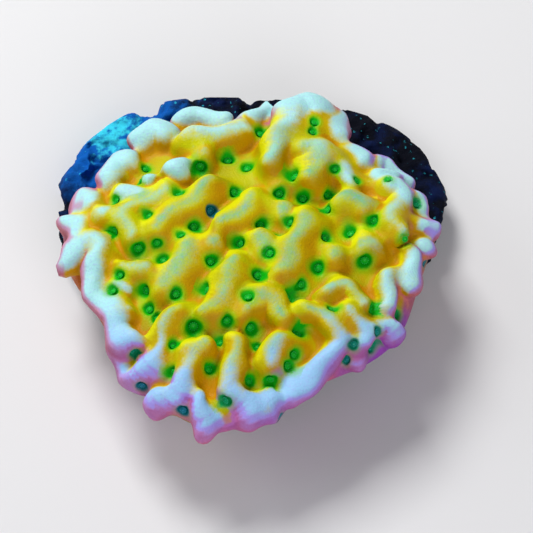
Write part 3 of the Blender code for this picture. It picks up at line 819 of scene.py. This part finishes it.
@dataclass(frozen=True)
class Wire:
    """A number on its way through a material's nodes, which plain sums work on."""

    bench: "NodeBench"
    socket: Socket

    def __add__(self, other: object) -> "Wire":
        """Add a wire or number."""
        return self.bench.math("ADD", self, other)

    def __sub__(self, other: object) -> "Wire":
        """Take a wire or number away."""
        return self.bench.math("SUBTRACT", self, other)

    def __rsub__(self, other: float) -> "Wire":
        """Take this away from a number."""
        return self.bench.math("SUBTRACT", other, self)

    def __mul__(self, other: object) -> "Wire":
        """Multiply by a wire or number."""
        return self.bench.math("MULTIPLY", self, other)

    def __neg__(self) -> "Wire":
        """Turn the sign round."""
        return 0.0 - self

    def __abs__(self) -> "Wire":
        """Leave the sign out."""
        return self.bench.math("ABSOLUTE", self)

    def most(self, other: "Wire") -> "Wire":
        """Take the greater of two numbers.

        Args:
            other: The other wire.

        Returns:
            The greater.
        """
        return self.bench.math("MAXIMUM", self, other)

    def ease(self, low: float, high: float) -> "Wire":
        """Ease from 0 at low to 1 at high.

        Args:
            low: Where the result is 0.
            high: Where the result is 1.

        Returns:
            The eased share.
        """
        made = self.bench.node("ShaderNodeMapRange", interpolation_type="SMOOTHSTEP")
        self.bench.join(self, made.inputs["Value"])
        made.inputs["From Min"].default_value = low
        made.inputs["From Max"].default_value = high
        return Wire(self.bench, made.outputs["Result"])


@dataclass
class NodeBench:
    """Shorthand for building one material's nodes."""

    material: bpy.types.Material
    shader: bpy.types.Node = field(init=False)

    def __post_init__(self) -> None:
        """Find the material's shader."""
        self.shader = self.material.node_tree.nodes["Principled BSDF"]

    def node(self, kind: str, **settings: object) -> bpy.types.Node:
        """Add a node.

        Args:
            kind: The node's type name.
            settings: Properties to set on it.

        Returns:
            The new node.
        """
        made = self.material.node_tree.nodes.new(kind)
        for name, value in settings.items():
            setattr(made, name, value)
        return made

    def join(self, source: object, target: Socket) -> None:
        """Feed an input socket from a wire or socket, or with a plain value.

        Args:
            source: A wire, an output socket, a number or a colour.
            target: The input socket.
        """
        if isinstance(source, Wire):
            source = source.socket
        if isinstance(source, Socket):
            self.material.node_tree.links.new(source, target)
        elif isinstance(source, tuple) and len(source) == 3 and target.type == "RGBA":
            target.default_value = (*source, 1.0)
        else:
            target.default_value = source

    def mask(self, mask: Mask) -> Wire:
        """Read a point attribute.

        Args:
            mask: Which attribute.

        Returns:
            Its value.
        """
        made = self.node("ShaderNodeAttribute", attribute_name=mask.value)
        return Wire(self, made.outputs["Fac"])

    def math(self, operation: str, first: object, second: object = 0.0) -> Wire:
        """Combine two numbers.

        Args:
            operation: The sum's name, such as ADD.
            first: A wire or number.
            second: A wire or number.

        Returns:
            The result.
        """
        made = self.node("ShaderNodeMath", operation=operation)
        self.join(first, made.inputs[0])
        self.join(second, made.inputs[1])
        return Wire(self, made.outputs[0])

    def mix(self, share: Wire, first: object, second: object) -> Socket:
        """Mix two colours.

        Args:
            share: How much of the second colour.
            first: A socket or colour.
            second: A socket or colour.

        Returns:
            The mixed colour.
        """
        made = self.node("ShaderNodeMix", data_type="RGBA")
        self.join(share, made.inputs["Factor"])
        self.join(first, made.inputs[6])
        self.join(second, made.inputs[7])
        return made.outputs[2]

    def place(self) -> Socket:
        """Read the place on the object.

        Returns:
            The object coordinates, in metres.
        """
        return self.node("ShaderNodeTexCoord").outputs["Object"]

    def along(self, axis: str) -> Wire:
        """Tell how far a point lies along an axis from the middle.

        Args:
            axis: The axis, X, Y or Z.

        Returns:
            The length, in millimetres.
        """
        split = self.node("ShaderNodeSeparateXYZ")
        self.join(self.place(), split.inputs[0])
        return Wire(self, split.outputs[axis]) * (1.0 / METRES_PER_MM)

    def millimetres_from(self, place_mm: Triple) -> Wire:
        """Measure how far a point lies from a place.

        Args:
            place_mm: The place, in millimetres.

        Returns:
            The distance, in millimetres.
        """
        away = self.node("ShaderNodeVectorMath", operation="DISTANCE")
        self.join(self.place(), away.inputs[0])
        self.join(tuple(v * METRES_PER_MM for v in place_mm), away.inputs[1])
        return Wire(self, away.outputs["Value"]) * (1.0 / METRES_PER_MM)

    def texture(self, kind: str, size_mm: float) -> bpy.types.Node:
        """Add a texture that keeps to the object.

        Args:
            kind: The node's type name.
            size_mm: The size of its blotches or cells.

        Returns:
            The new node.
        """
        made = self.node(kind)
        self.join(self.place(), made.inputs["Vector"])
        made.inputs["Scale"].default_value = 1.0 / (size_mm * METRES_PER_MM)
        return made

    def noise(self, size_mm: float, detail: float = 3.0, roughness: float = 0.55) -> Wire:
        """Add cloudy noise.

        Args:
            size_mm: The size of its blotches.
            detail: How many finer layers it has.
            roughness: How strong they are.

        Returns:
            The noise, from 0 to 1.
        """
        made = self.texture("ShaderNodeTexNoise", size_mm)
        made.inputs["Detail"].default_value = detail
        made.inputs["Roughness"].default_value = roughness
        return Wire(self, made.outputs["Fac"])

    def cells(self, size_mm: float) -> Wire:
        """Add rounded cells.

        Args:
            size_mm: The size of a cell.

        Returns:
            The distance from the cell's middle, from 0 up.
        """
        return Wire(self, self.texture("ShaderNodeTexVoronoi", size_mm).outputs["Distance"])

    def paint(self, colour: Socket, specular: float) -> None:
        """Give the surface its colour and shine.

        Args:
            colour: The colour's socket.
            specular: How strongly it shines.
        """
        self.join(colour, self.shader.inputs["Base Color"])
        self.shader.inputs["Specular IOR Level"].default_value = specular

    def bump(self, height: Wire, depth_mm: float, strength: float) -> None:
        """Raise the surface's fine relief.

        Args:
            height: The relief, from 0 to 1.
            depth_mm: How deep the relief is.
            strength: How much of it shows.
        """
        made = self.node("ShaderNodeBump")
        made.inputs["Strength"].default_value = strength
        made.inputs["Distance"].default_value = depth_mm * METRES_PER_MM
        self.join(height, made.inputs["Height"])
        self.join(made.outputs["Normal"], self.shader.inputs["Normal"])


def from_screen(red: int, green: int, blue: int) -> Colour:
    """Turn a screen colour into the shader's linear colour.

    Args:
        red: From 0 to 255.
        green: From 0 to 255.
        blue: From 0 to 255.

    Returns:
        The linear colour.
    """
    shares = [value / 255 for value in (red, green, blue)]
    return tuple(v / 12.92 if v <= 0.04045 else ((v + 0.055) / 1.055) ** 2.4 for v in shares)


@dataclass(frozen=True)
class TissueFinish(Finish):
    """The colony's living crust: yellow valleys, pale crests, a pink rim and green pits."""

    valley: Colour = from_screen(192, 194, 0)
    deep: Colour = from_screen(160, 146, 0)
    shade: Colour = from_screen(204, 134, 0)
    bright: Colour = from_screen(232, 236, 4)
    inner_crest: Colour = from_screen(122, 192, 132)
    outer_crest: Colour = from_screen(172, 232, 234)
    front_crest: Colour = from_screen(154, 206, 248)
    lavender: Colour = from_screen(170, 154, 240)
    pink: Colour = from_screen(216, 116, 140)
    mauve: Colour = from_screen(168, 106, 204)
    magenta: Colour = from_screen(140, 44, 110)
    russet: Colour = from_screen(200, 116, 84)
    ochre: Colour = from_screen(186, 96, 10)
    ochre_at: Triple = (-12.6, -3.6, 5.4)
    cleft: Colour = from_screen(176, 132, 6)
    clefts_at: tuple[Triple, ...] = ((-2.3, -14.3, 5.4), (-5.2, -13.8, 5.4))
    rosy: Colour = from_screen(206, 150, 148)
    violet: Colour = from_screen(150, 66, 178)
    violet_at: Triple = (10.6, -7.8, 5.0)
    halo: Colour = from_screen(112, 196, 4)
    pit: Colour = from_screen(14, 178, 20)
    pit_blue: Colour = from_screen(8, 112, 124)
    place_wander: float = 2.5

    def near_place(self, bench: NodeBench, ground: Socket, tint: Colour, place: Triple,
                   reach: Pair, wander: Wire) -> Socket:
        """Tint the crust around one place.

        Args:
            bench: The material's bench.
            ground: The colour so far.
            tint: The place's own colour.
            place: The place, in millimetres.
            reach: How far the tint reaches and how wide its soft edge is, in millimetres.
            wander: Noise that breaks its edge.

        Returns:
            The tinted colour.
        """
        apart = bench.millimetres_from(place) + wander * self.place_wander
        return bench.mix((reach[0] - apart).ease(0.0, reach[1]), ground, tint)

    def build(self) -> bpy.types.Material:
        """Build the material.

        Returns:
            The finished material.
        """
        bench = self.start()
        grain = bench.noise(0.22, 4.0, 0.7)
        blotch = bench.noise(1.5, 3.0)
        drift = bench.noise(5.0, 2.0)
        jitter = (grain - 0.5) * 0.4
        wander = blotch - 0.5
        raised = bench.mask(Mask.CREST)
        crest = raised + jitter + wander * 0.8
        rim = bench.mask(Mask.RIM)
        wall = bench.mask(Mask.WALL) + wander * 0.3
        crease = bench.mask(Mask.CREASE) + wander * 0.8
        front = bench.mask(Mask.AWAY_FROM_LIGHT) + jitter * 0.5
        pit = bench.mask(Mask.PIT) + jitter * 0.6
        blue = bench.mask(Mask.BLUE)
        across, along = bench.along("X"), bench.along("Y")

        # The valleys, with darker patches and a more orange tone towards the rim; painted shade in
        # the creases and on the slopes facing away from the light, and a painted highlight on the
        # flanks facing the light.
        ground = bench.mix(drift.ease(0.4, 0.7) * 0.7, self.valley, self.deep)
        patches = bench.noise(2.6, 2.0).ease(0.48, 0.66) * 0.5
        # Painted shade: orange in the creases and on the slopes facing away from the light, mixed
        # with darker patches and the rim's orange tone.
        painted_shade_and_patches = (crease.ease(0.4, 1.1) * 0.85).most(front.ease(0.0, 0.6) * 0.75)
        painted_shade_and_patches = painted_shade_and_patches.most(patches.most(rim.ease(0.5, 1.0) * 0.5))
        ground = bench.mix(painted_shade_and_patches, ground, self.shade)
        # Painted highlight: bright yellow on the crest flanks facing the light.
        painted_highlight = raised.ease(0.0, 0.12) * (-front).ease(0.3, 0.75)
        ground = bench.mix(painted_highlight * 0.75, ground, self.bright)
        ground = bench.mix(crest.ease(0.1, 0.6) * 0.25, ground, self.bright)

        # The wall round the rim, redder at the sides and back, with russet painted shade in its
        # creases, and its tinted places.
        side = bench.mix(drift.ease(0.3, 0.7) + wander * 0.3, self.pink, self.mauve)
        side = bench.mix(abs(across).ease(7.5, 12.5) * 0.75, side, self.russet)
        forward = (1.0 - along.ease(5.5, 9.5)).most(across.ease(7.0, 9.0))
        # Russet painted shade in the wall's creases, and russet over the back.
        fold_shade_and_back = crease.ease(0.5, 1.1).most(1.0 - forward)
        side = bench.mix(fold_shade_and_back * 0.75, side, self.russet)
        side = bench.mix(wall.ease(0.8, 1.2) * 0.75, side, self.magenta)
        side = self.near_place(bench, side, self.violet, self.violet_at, (4.4, 2.4), wander)
        side = self.near_place(bench, side, self.ochre, self.ochre_at, (3.6, 1.6), wander)
        for place in self.clefts_at:
            side = self.near_place(bench, side, self.cleft, place, (2.4, 1.2), wander)
        ground = bench.mix(wall.ease(0.1, 0.6), ground, side)

        # The pale crests, bluer in front and blushing down the wall.
        frontal = 1.0 - along.ease(-11.0, -5.0)
        outer = bench.mix(frontal, self.outer_crest, self.front_crest)
        pale = bench.mix(rim.ease(0.2, 0.85), self.inner_crest, outer)
        leftward = (-across).ease(8.5, 13.0)
        blush = bench.mix(leftward * 0.7, self.lavender, self.rosy)
        pale = bench.mix(wall.ease(0.15, 0.7) * forward, pale, blush)

        # How far the pale crests show: less low on the wall, and cut back on the flanks facing the
        # light, where the painted highlight shows instead.
        reach = (crest - (0.98 - rim * 0.1)).ease(-0.62, 0.08)
        lit = (-front).ease(0.35, 0.8) * (1.0 - rim.ease(0.75, 1.0))
        # Pale crests thinned low on the wall, and cut on the lit flanks for the painted highlight.
        wall_and_lit_cut = (wall.ease(0.72, 1.1) * 0.85).most(lit * 0.7)
        patchy = (1.0 - rim.ease(0.2, 0.8)) * bench.noise(2.0, 2.0).ease(0.42, 0.62)
        reach = reach * (1.0 - wall_and_lit_cut) * (1.0 - patchy * 0.3)
        tissue = bench.mix(reach, ground, pale)

        # The pits with their green haloes, and the pale flecks of the crests.
        halo = (1.0 - pit.ease(1.0, 2.2)) * (0.7 - blue * 0.5)
        tissue = bench.mix(halo, tissue, self.halo)
        hole = bench.mix(blue, self.pit, self.pit_blue)
        tissue = bench.mix((1.2 - pit).ease(-0.1, 0.35), tissue, hole)
        flecks = grain.ease(0.45, 0.7) * reach
        bench.paint(bench.mix(flecks * 0.3, tissue, self.lavender), 0.12)
        bench.bump(bench.cells(0.16) * 0.6 + grain, 0.06, 0.7)
        return bench.material


@dataclass(frozen=True)
class PolypFinish(Finish):
    """The polyps: dark green discs with paler tips, bluer towards the rim."""

    disc: Colour = from_screen(12, 176, 38)
    tip: Colour = from_screen(54, 208, 96)
    blue_disc: Colour = from_screen(10, 112, 140)
    blue_tip: Colour = from_screen(60, 176, 196)

    def build(self) -> bpy.types.Material:
        """Build the material.

        Returns:
            The finished material.
        """
        bench = self.start()
        grain = bench.noise(0.12, 3.0)
        up = bench.mask(Mask.LIFT) + grain * 0.2
        blue = bench.mask(Mask.BLUE)
        disc = bench.mix(blue, self.disc, self.blue_disc)
        tip = bench.mix(blue, self.tip, self.blue_tip)
        bench.paint(bench.mix(up.ease(0.3, 1.0), disc, tip), 0.15)
        bench.bump(grain, 0.02, 0.4)
        return bench.material


@dataclass(frozen=True)
class RockFinish(Finish):
    """The reef rock: dark blue, with a painted pool of light, bright blue to cyan, at the back left,
    and pale flecks.
    """

    deep: Colour = from_screen(4, 8, 22)
    navy: Colour = from_screen(8, 26, 70)
    blue: Colour = from_screen(6, 96, 190)
    cyan: Colour = from_screen(60, 216, 244)
    lit_patch_at: Triple = (-11.3, 14.0, 3.0)

    def build(self) -> bpy.types.Material:
        """Build the material.

        Returns:
            The finished material.
        """
        bench = self.start()
        blotch = bench.noise(2.2, 5.0, 0.65)
        grain = bench.noise(0.4, 4.0, 0.7)
        fleck = bench.cells(0.55)
        mottle = bench.noise(0.9, 4.0, 0.6)
        # Painted pool of light: blue, turning cyan at its middle, round a place at the back left.
        near = bench.millimetres_from(self.lit_patch_at) + blotch * -7.0 + mottle * -5.0
        rock = bench.mix(blotch.ease(0.42, 0.68), self.deep, self.navy)
        rock = bench.mix((2.0 - near).ease(0.0, 4.5), rock, self.blue)
        rock = bench.mix((-3.4 - near).ease(0.0, 1.6), rock, self.cyan)
        spots = bench.math("LESS_THAN", fleck, 0.22) * grain.ease(0.5, 0.62)
        bench.paint(bench.mix(spots * 0.6, rock, self.cyan), 0.1)
        bench.bump(grain + blotch * 0.6, 0.25, 0.8)
        return bench.material


def store_mask(mesh: bpy.types.Mesh, mask: Mask, values: Array) -> None:
    """Store a point attribute on a mesh.

    Args:
        mesh: The mesh.
        mask: Which attribute.
        values: One value for each point.
    """
    made = mesh.attributes.new(mask.value, "FLOAT", "POINT")
    made.data.foreach_set("value", np.asarray(values, np.float32))


def sheet_mesh(name: str, sheet: Array) -> bpy.types.Mesh:
    """Make a closed mesh: a sheet of points whose open edge is shut by one flat face.

    Args:
        name: The mesh's name.
        sheet: Points as rows, columns and x, y, z, in millimetres.

    Returns:
        The mesh, in metres.
    """
    cells = sheet.shape[0] - 1
    mesh = bmesh.new()
    bmesh.ops.create_grid(mesh, x_segments=cells, y_segments=cells, size=1.0)
    mesh.verts.ensure_lookup_table()
    points = (sheet.reshape(-1, 3) + TO_ORIGIN) * METRES_PER_MM
    for vertex, point in zip(mesh.verts, points):
        vertex.co = point
    rim = [edge for edge in mesh.edges if edge.is_boundary]
    bmesh.ops.contextual_create(mesh, geom=rim)
    bmesh.ops.recalc_face_normals(mesh, faces=mesh.faces)
    data = bpy.data.meshes.new(name)
    mesh.to_mesh(data)
    mesh.free()
    return data


def rim_blue(shares: Array) -> Array:
    """Tell how blue the pits are, which they turn towards the rim.

    Args:
        shares: How far out over the body they lie.

    Returns:
        From 0 for green to 1 for blue.
    """
    return smooth_share(shares, *BLUE_SHARES)


def placed(name: str, data: bpy.types.ID) -> bpy.types.Object:
    """Put a new object in the scene.

    Args:
        name: Its name.
        data: Its mesh, light or camera.

    Returns:
        The object.
    """
    made = bpy.data.objects.new(name, data)
    bpy.context.scene.collection.objects.link(made)
    return made


def finished_piece(name: str, data: bpy.types.Mesh, material: bpy.types.Material) -> bpy.types.Object:
    """Turn a mesh into a smooth-shaded piece of the scene.

    Args:
        name: The piece's name.
        data: Its mesh.
        material: Its material.

    Returns:
        The new object.
    """
    data.shade_smooth()
    data.materials.append(material)
    piece = placed(name, data)
    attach(piece, "root")
    LOG.info("%s: %d faces", name, len(data.polygons))
    return piece


@dataclass
class CoralColony:
    """The colony's crust, from its crown to the seat on the rock."""

    shape: ColonyField
    pits: PitSet
    coarse_cells: int = 77
    doublings: int = 2
    raising_rounds: int = 24
    settling_rounds: tuple[int, ...] = (24, 10, 6)
    mean_rounds: int = 6
    step: float = 0.35
    rim_shares: Pair = (0.45, 1.02)
    crease_depths: Pair = (-0.02, 0.09)
    away_from_light: Triple = (0.5, -0.85, -0.1)
    wall_shares: Pair = (0.83, 0.98)
    wall_facing: Pair = (-0.98, -0.36)
    wall_outward: Pair = (-0.1, 0.35)
    wall_heights: Pair = (-5.6, -4.5)

    def settle(self, sheet: Array, rounds: int) -> Array:
        """Even a sheet out along the colony's surface.

        Args:
            sheet: Points near the surface.
            rounds: How many times to even them out.

        Returns:
            The evened sheet, on the surface.
        """
        edge = np.zeros(sheet.shape[:2], bool)
        edge[[0, -1], :] = True
        edge[:, [0, -1]] = True
        for _ in range(rounds):
            sheet = 0.5 * sheet + 0.5 * neighbour_mean(sheet)
            flat = sheet.reshape(-1, 3)
            gap, slope, _ = self.shape.measure(flat)
            flat = flat - unit(slope) * np.clip(gap, -self.step, self.step)[:, None]
            flat[:, 2] = np.maximum(flat[:, 2], SEAT)
            sheet = flat.reshape(sheet.shape)
            sheet[edge, 2] = SEAT
        return sheet

    def surface(self) -> Array:
        """Lay the sheet of points on the colony, coarse first and then finer.

        Returns:
            The sheet, before its pits.
        """
        sheet = body_sheet(self.coarse_cells)
        flat = sheet.reshape(-1, 3)
        outwards = body_field(flat)[1]
        for _ in range(self.raising_rounds):
            gap = self.shape.distance(flat)
            flat = flat - outwards * np.clip(gap, -self.step, self.step)[:, None]
        sheet = flat.reshape(sheet.shape)
        doublings = self.doublings
        sheet = self.settle(sheet, self.settling_rounds[0])
        for level in range(doublings):
            sheet = self.settle(finer(sheet), self.settling_rounds[level + 1])
        return sheet

    def build(self, finish: TissueFinish) -> bpy.types.Object:
        """Make the colony.

        Args:
            finish: Its finish.

        Returns:
            The new piece.
        """
        sheet = self.surface()
        flat = sheet.reshape(-1, 3)
        _, slope, crest = self.shape.measure(flat)
        normal = unit(slope)
        share = body_field(flat)[2]
        pressed, reach, blue = self.pits.sink(flat)
        rim = np.maximum(smooth_share(share, *self.rim_shares), self.shape.capped(flat))
        radial = unit(flat[:, :2] - np.array(BODY_CENTRE))
        outward = (normal[:, :2] * radial).sum(axis=1)
        wall = (smooth_share(share, *self.wall_shares)
                * smooth_share(-normal[:, 2], *self.wall_facing)
                * smooth_share(outward, *self.wall_outward))
        wall = np.maximum(wall, smooth_share(-flat[:, 2], *self.wall_heights))
        # How hollow each point lies: the tissue paints orange shade into these creases.
        mean = sheet
        for _ in range(self.mean_rounds):
            mean = neighbour_mean(mean)
        hollow = ((mean - sheet).reshape(-1, 3) * normal).sum(axis=1)
        crease = smooth_share(hollow, *self.crease_depths)
        data = sheet_mesh("colony_crust", pressed.reshape(sheet.shape))
        made = finished_piece("colony_crust", data, finish.build())
        # The mask of how far each point faces away from the light feeds the painted shade and painted
        # highlight.
        for mask, values in (
            (Mask.CREST, crest), (Mask.RIM, rim), (Mask.WALL, wall), (Mask.CREASE, crease),
            (Mask.PIT, reach), (Mask.AWAY_FROM_LIGHT, normal @ self.away_from_light), (Mask.BLUE, blue),
        ):
            store_mask(made.data, mask, values)
        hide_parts(Piece.COLONY.value)
        return made


@dataclass
class Polyps:
    """A small rosette in every pit: a disc with a raised mouth and twelve stubby arms."""

    pits: PitSet
    arms: int = 12
    depth_share: float = 0.52
    disc_size: Triple = (0.5, 0.5, 0.18)
    mouth_size: Triple = (0.11, 0.11, 0.09)
    arm_size: Triple = (0.14, 0.075, 0.075)
    mouth_height: float = 0.13
    arm_height: float = 0.06
    arm_ring: float = 0.47
    long_arm: float = 1.25
    spin_share: float = 2.7
    arm_tilt: float = math.radians(-35)

    def rosette(self) -> tuple[Array, list[tuple[int, ...]], Array]:
        """Make one polyp of radius one, facing up.

        Returns:
            Its points, its faces and how pale each point is.
        """
        mesh = bmesh.new()
        pale_layer = mesh.verts.layers.float.new(Mask.LIFT.value)
        mouth = (Matrix.Translation((0, 0, self.mouth_height))
                 @ Matrix.Diagonal((*self.mouth_size, 1.0)))
        balls = [(Matrix.Diagonal((*self.disc_size, 1.0)), 0.2, 12, 6), (mouth, 1.0, 6, 4)]
        for arm in range(self.arms):
            long = self.long_arm if arm % 2 else 1.0
            balls.append((Matrix.Rotation(math.tau * arm / self.arms, 4, "Z")
                          @ Matrix.Translation((self.arm_ring, 0, self.arm_height))
                          @ Matrix.Rotation(self.arm_tilt, 4, "Y")
                          @ Matrix.Diagonal((self.arm_size[0] * long, *self.arm_size[1:], 1.0)),
                          0.55 if arm % 2 else 0.8, 6, 4))
        for shape, pale, around, rings in balls:
            made = bmesh.ops.create_uvsphere(mesh, u_segments=around, v_segments=rings,
                                             radius=1.0, matrix=shape)
            for vertex in made["verts"]:
                vertex[pale_layer] = pale
        bmesh.ops.recalc_face_normals(mesh, faces=mesh.faces)
        mesh.verts.index_update()
        points = np.array([vertex.co[:] for vertex in mesh.verts])
        faces = [tuple(vertex.index for vertex in face.verts) for face in mesh.faces]
        pale = np.array([vertex[pale_layer] for vertex in mesh.verts])
        mesh.free()
        return points, faces, pale

    def build(self, finish: PolypFinish) -> bpy.types.Object:
        """Make all the polyps as one joined mesh.

        Args:
            finish: Their finish.

        Returns:
            The new piece.
        """
        points, faces, pale = self.rosette()
        places, joined, pales, blues = [], [], [], []
        for index, (centre, outwards, radius) in enumerate(
                zip(self.pits.centres, self.pits.outwards, self.pits.radii)):
            spin = Matrix.Rotation(math.tau * index / (self.spin_share * self.arms), 3, "Z")
            turn = Vector(outwards).to_track_quat("Z", "Y").to_matrix() @ spin
            base = centre - outwards * radius * self.depth_share + TO_ORIGIN
            places.append((base + points @ np.array(turn).T * radius) * METRES_PER_MM)
            start = index * len(points)
            joined += [tuple(start + corner for corner in face) for face in faces]
            pales.append(pale)
            blues.append(np.full(len(points), self.pits.blues[index]))
        data = bpy.data.meshes.new("polyps")
        data.from_pydata(np.vstack(places).tolist(), [], joined)
        store_mask(data, Mask.LIFT, np.concatenate(pales))
        store_mask(data, Mask.BLUE, np.concatenate(blues))
        return finished_piece("polyps", data, finish.build())


@dataclass
class RockBase:
    """The rough slab of reef rock, with a flat underside."""

    cells: int = 190
    quick_cells: int = 80
    octaves: int = 8

    def build(self, finish: RockFinish) -> bpy.types.Object:
        """Make the slab.

        Args:
            finish: Its finish.

        Returns:
            The new piece.
        """
        cells = self.cells
        share, angles = disc_of_square(grid_square(cells))
        plan = np.minimum(share / ROCK_TOP_SHARE, 1.0)
        down = np.maximum(share - ROCK_TOP_SHARE, 0.0) / (1 - ROCK_TOP_SHARE)
        shoulder = (1 - plan**ROCK_SHOULDER_POWER) ** (1 / ROCK_SHOULDER_POWER)
        height = ROCK_WALL_HEIGHT * (1 - down) + (ROCK_HEIGHT - ROCK_WALL_HEIGHT) * shoulder
        reach = outline_radius(angles, ROCK_RADII) * plan - ROCK_FOOT_INSET * down
        heading = np.column_stack((np.cos(angles), np.sin(angles)))
        points = np.column_stack((heading * reach[:, None], height))
        lumps = np.array([noise.fractal(Vector(point) / ROCK_LUMP_SIZE + ROCK_SEED, 1.0, 2.0,
                                        self.octaves) for point in points])
        points[:, :2] += heading * (ROCK_BULGE * lumps * plan)[:, None]
        clear = smooth_share(body_field(points)[2], *ROCK_SEAT_SHARES)
        points[:, 2] -= ROCK_HOLLOW * np.abs(lumps) * (1 - down) * clear
        points[share > 1 - 1e-6, 2] = 0.0
        data = sheet_mesh("reef_rock", points.reshape(cells + 1, cells + 1, 3))
        made = finished_piece("reef_rock", data, finish.build())
        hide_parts(Piece.ROCK.value)
        return made


@dataclass(frozen=True)
class Studio:
    """The pale floor, the soft lights and the camera at the photograph's angle."""

    floor_size: float = 1.6
    floor_colour: Colour = (0.74, 0.75, 0.77)
    floor_roughness: float = 0.9
    light_aim: Triple = (0.0, 0.0, 0.006)
    sky_colour: Colour = (0.95, 0.97, 1.0)
    sky_strength: float = 0.16
    clip: Pair = (0.01, 10.0)

    def build(self) -> None:
        """Make the floor, the lights, the surroundings and the camera."""
        self.lay_floor()
        self.hang_light("key_light", (-0.10, 0.17, 0.24), 0.12, 0.84, (1.0, 0.98, 0.95))
        self.hang_light("left_light", (-0.26, 0.02, 0.18), 0.16, 0.18, (0.95, 0.97, 1.0))
        self.hang_light("front_light", (0.06, -0.28, 0.2), 0.2, 0.5, (1.0, 0.96, 0.98))
        self.set_surroundings()
        self.stand_camera()

    def lay_floor(self) -> None:
        """Lay the floor under the rock."""
        mesh = bmesh.new()
        bmesh.ops.create_grid(mesh, x_segments=1, y_segments=1, size=self.floor_size / 2)
        data = bpy.data.meshes.new("floor")
        mesh.to_mesh(data)
        mesh.free()
        material = bpy.data.materials.new("pale_floor")
        material.use_nodes = True
        shader = material.node_tree.nodes["Principled BSDF"]
        shader.inputs["Base Color"].default_value = (*self.floor_colour, 1.0)
        shader.inputs["Roughness"].default_value = self.floor_roughness
        data.materials.append(material)
        placed("floor", data)

    def hang_light(self, name: str, place: Triple, size: float, power: float,
                   colour: Colour) -> None:
        """Hang a soft square light that faces the colony.

        Args:
            name: The light's name.
            place: Where it hangs, in metres.
            size: Its side, in metres.
            power: Its power, in watts.
            colour: Its colour.
        """
        light = bpy.data.lights.new(name, "AREA")
        light.shape = "SQUARE"
        light.size = size
        light.energy = power
        light.color = colour
        lamp = placed(name, light)
        lamp.location = place
        aim = Vector(self.light_aim) - Vector(place)
        lamp.rotation_euler = aim.to_track_quat("-Z", "Y").to_euler()

    def set_surroundings(self) -> None:
        """Set the pale surroundings and plain colour handling."""
        world = bpy.data.worlds.new("surroundings")
        world.use_nodes = True
        sky = world.node_tree.nodes["Background"]
        sky.inputs["Color"].default_value = (*self.sky_colour, 1.0)
        sky.inputs["Strength"].default_value = self.sky_strength
        bpy.context.scene.world = world
        bpy.context.scene.view_settings.view_transform = "Standard"

    def stand_camera(self) -> None:
        """Stand the camera at the photograph's angle and distance."""
        middle = VIEW.picture_pixels / 2
        aim = VIEW.point_at((middle, middle)) + TO_ORIGIN
        place = aim + VIEW.distance * VIEW.towards_eye
        data = bpy.data.cameras.new("camera")
        data.sensor_width = VIEW.sensor_mm
        data.lens = VIEW.sensor_mm * VIEW.distance / (VIEW.picture_pixels * VIEW.mm_per_pixel)
        data.clip_start, data.clip_end = self.clip
        camera = placed("camera", data)
        camera.location = place * METRES_PER_MM
        turn = Matrix(np.column_stack((VIEW.rightwards, VIEW.upwards, VIEW.towards_eye)))
        camera.rotation_euler = turn.to_euler()
        bpy.context.scene.camera = camera


def main() -> None:
    """Build the studio, the rock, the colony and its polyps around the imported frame."""
    logging.basicConfig(level=logging.INFO, format="%(message)s")
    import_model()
    Studio().build()
    RockBase().build(RockFinish("reef_rock", Slot.ROCK, 0.8))
    shape = ColonyField()
    pits = PitSet(shape)
    CoralColony(shape, pits).build(TissueFinish("coral_tissue", Slot.TISSUE, 0.42))
    Polyps(pits).build(PolypFinish("polyp_tissue", Slot.POLYP, 0.35))


if __name__ == "__main__":
    main()
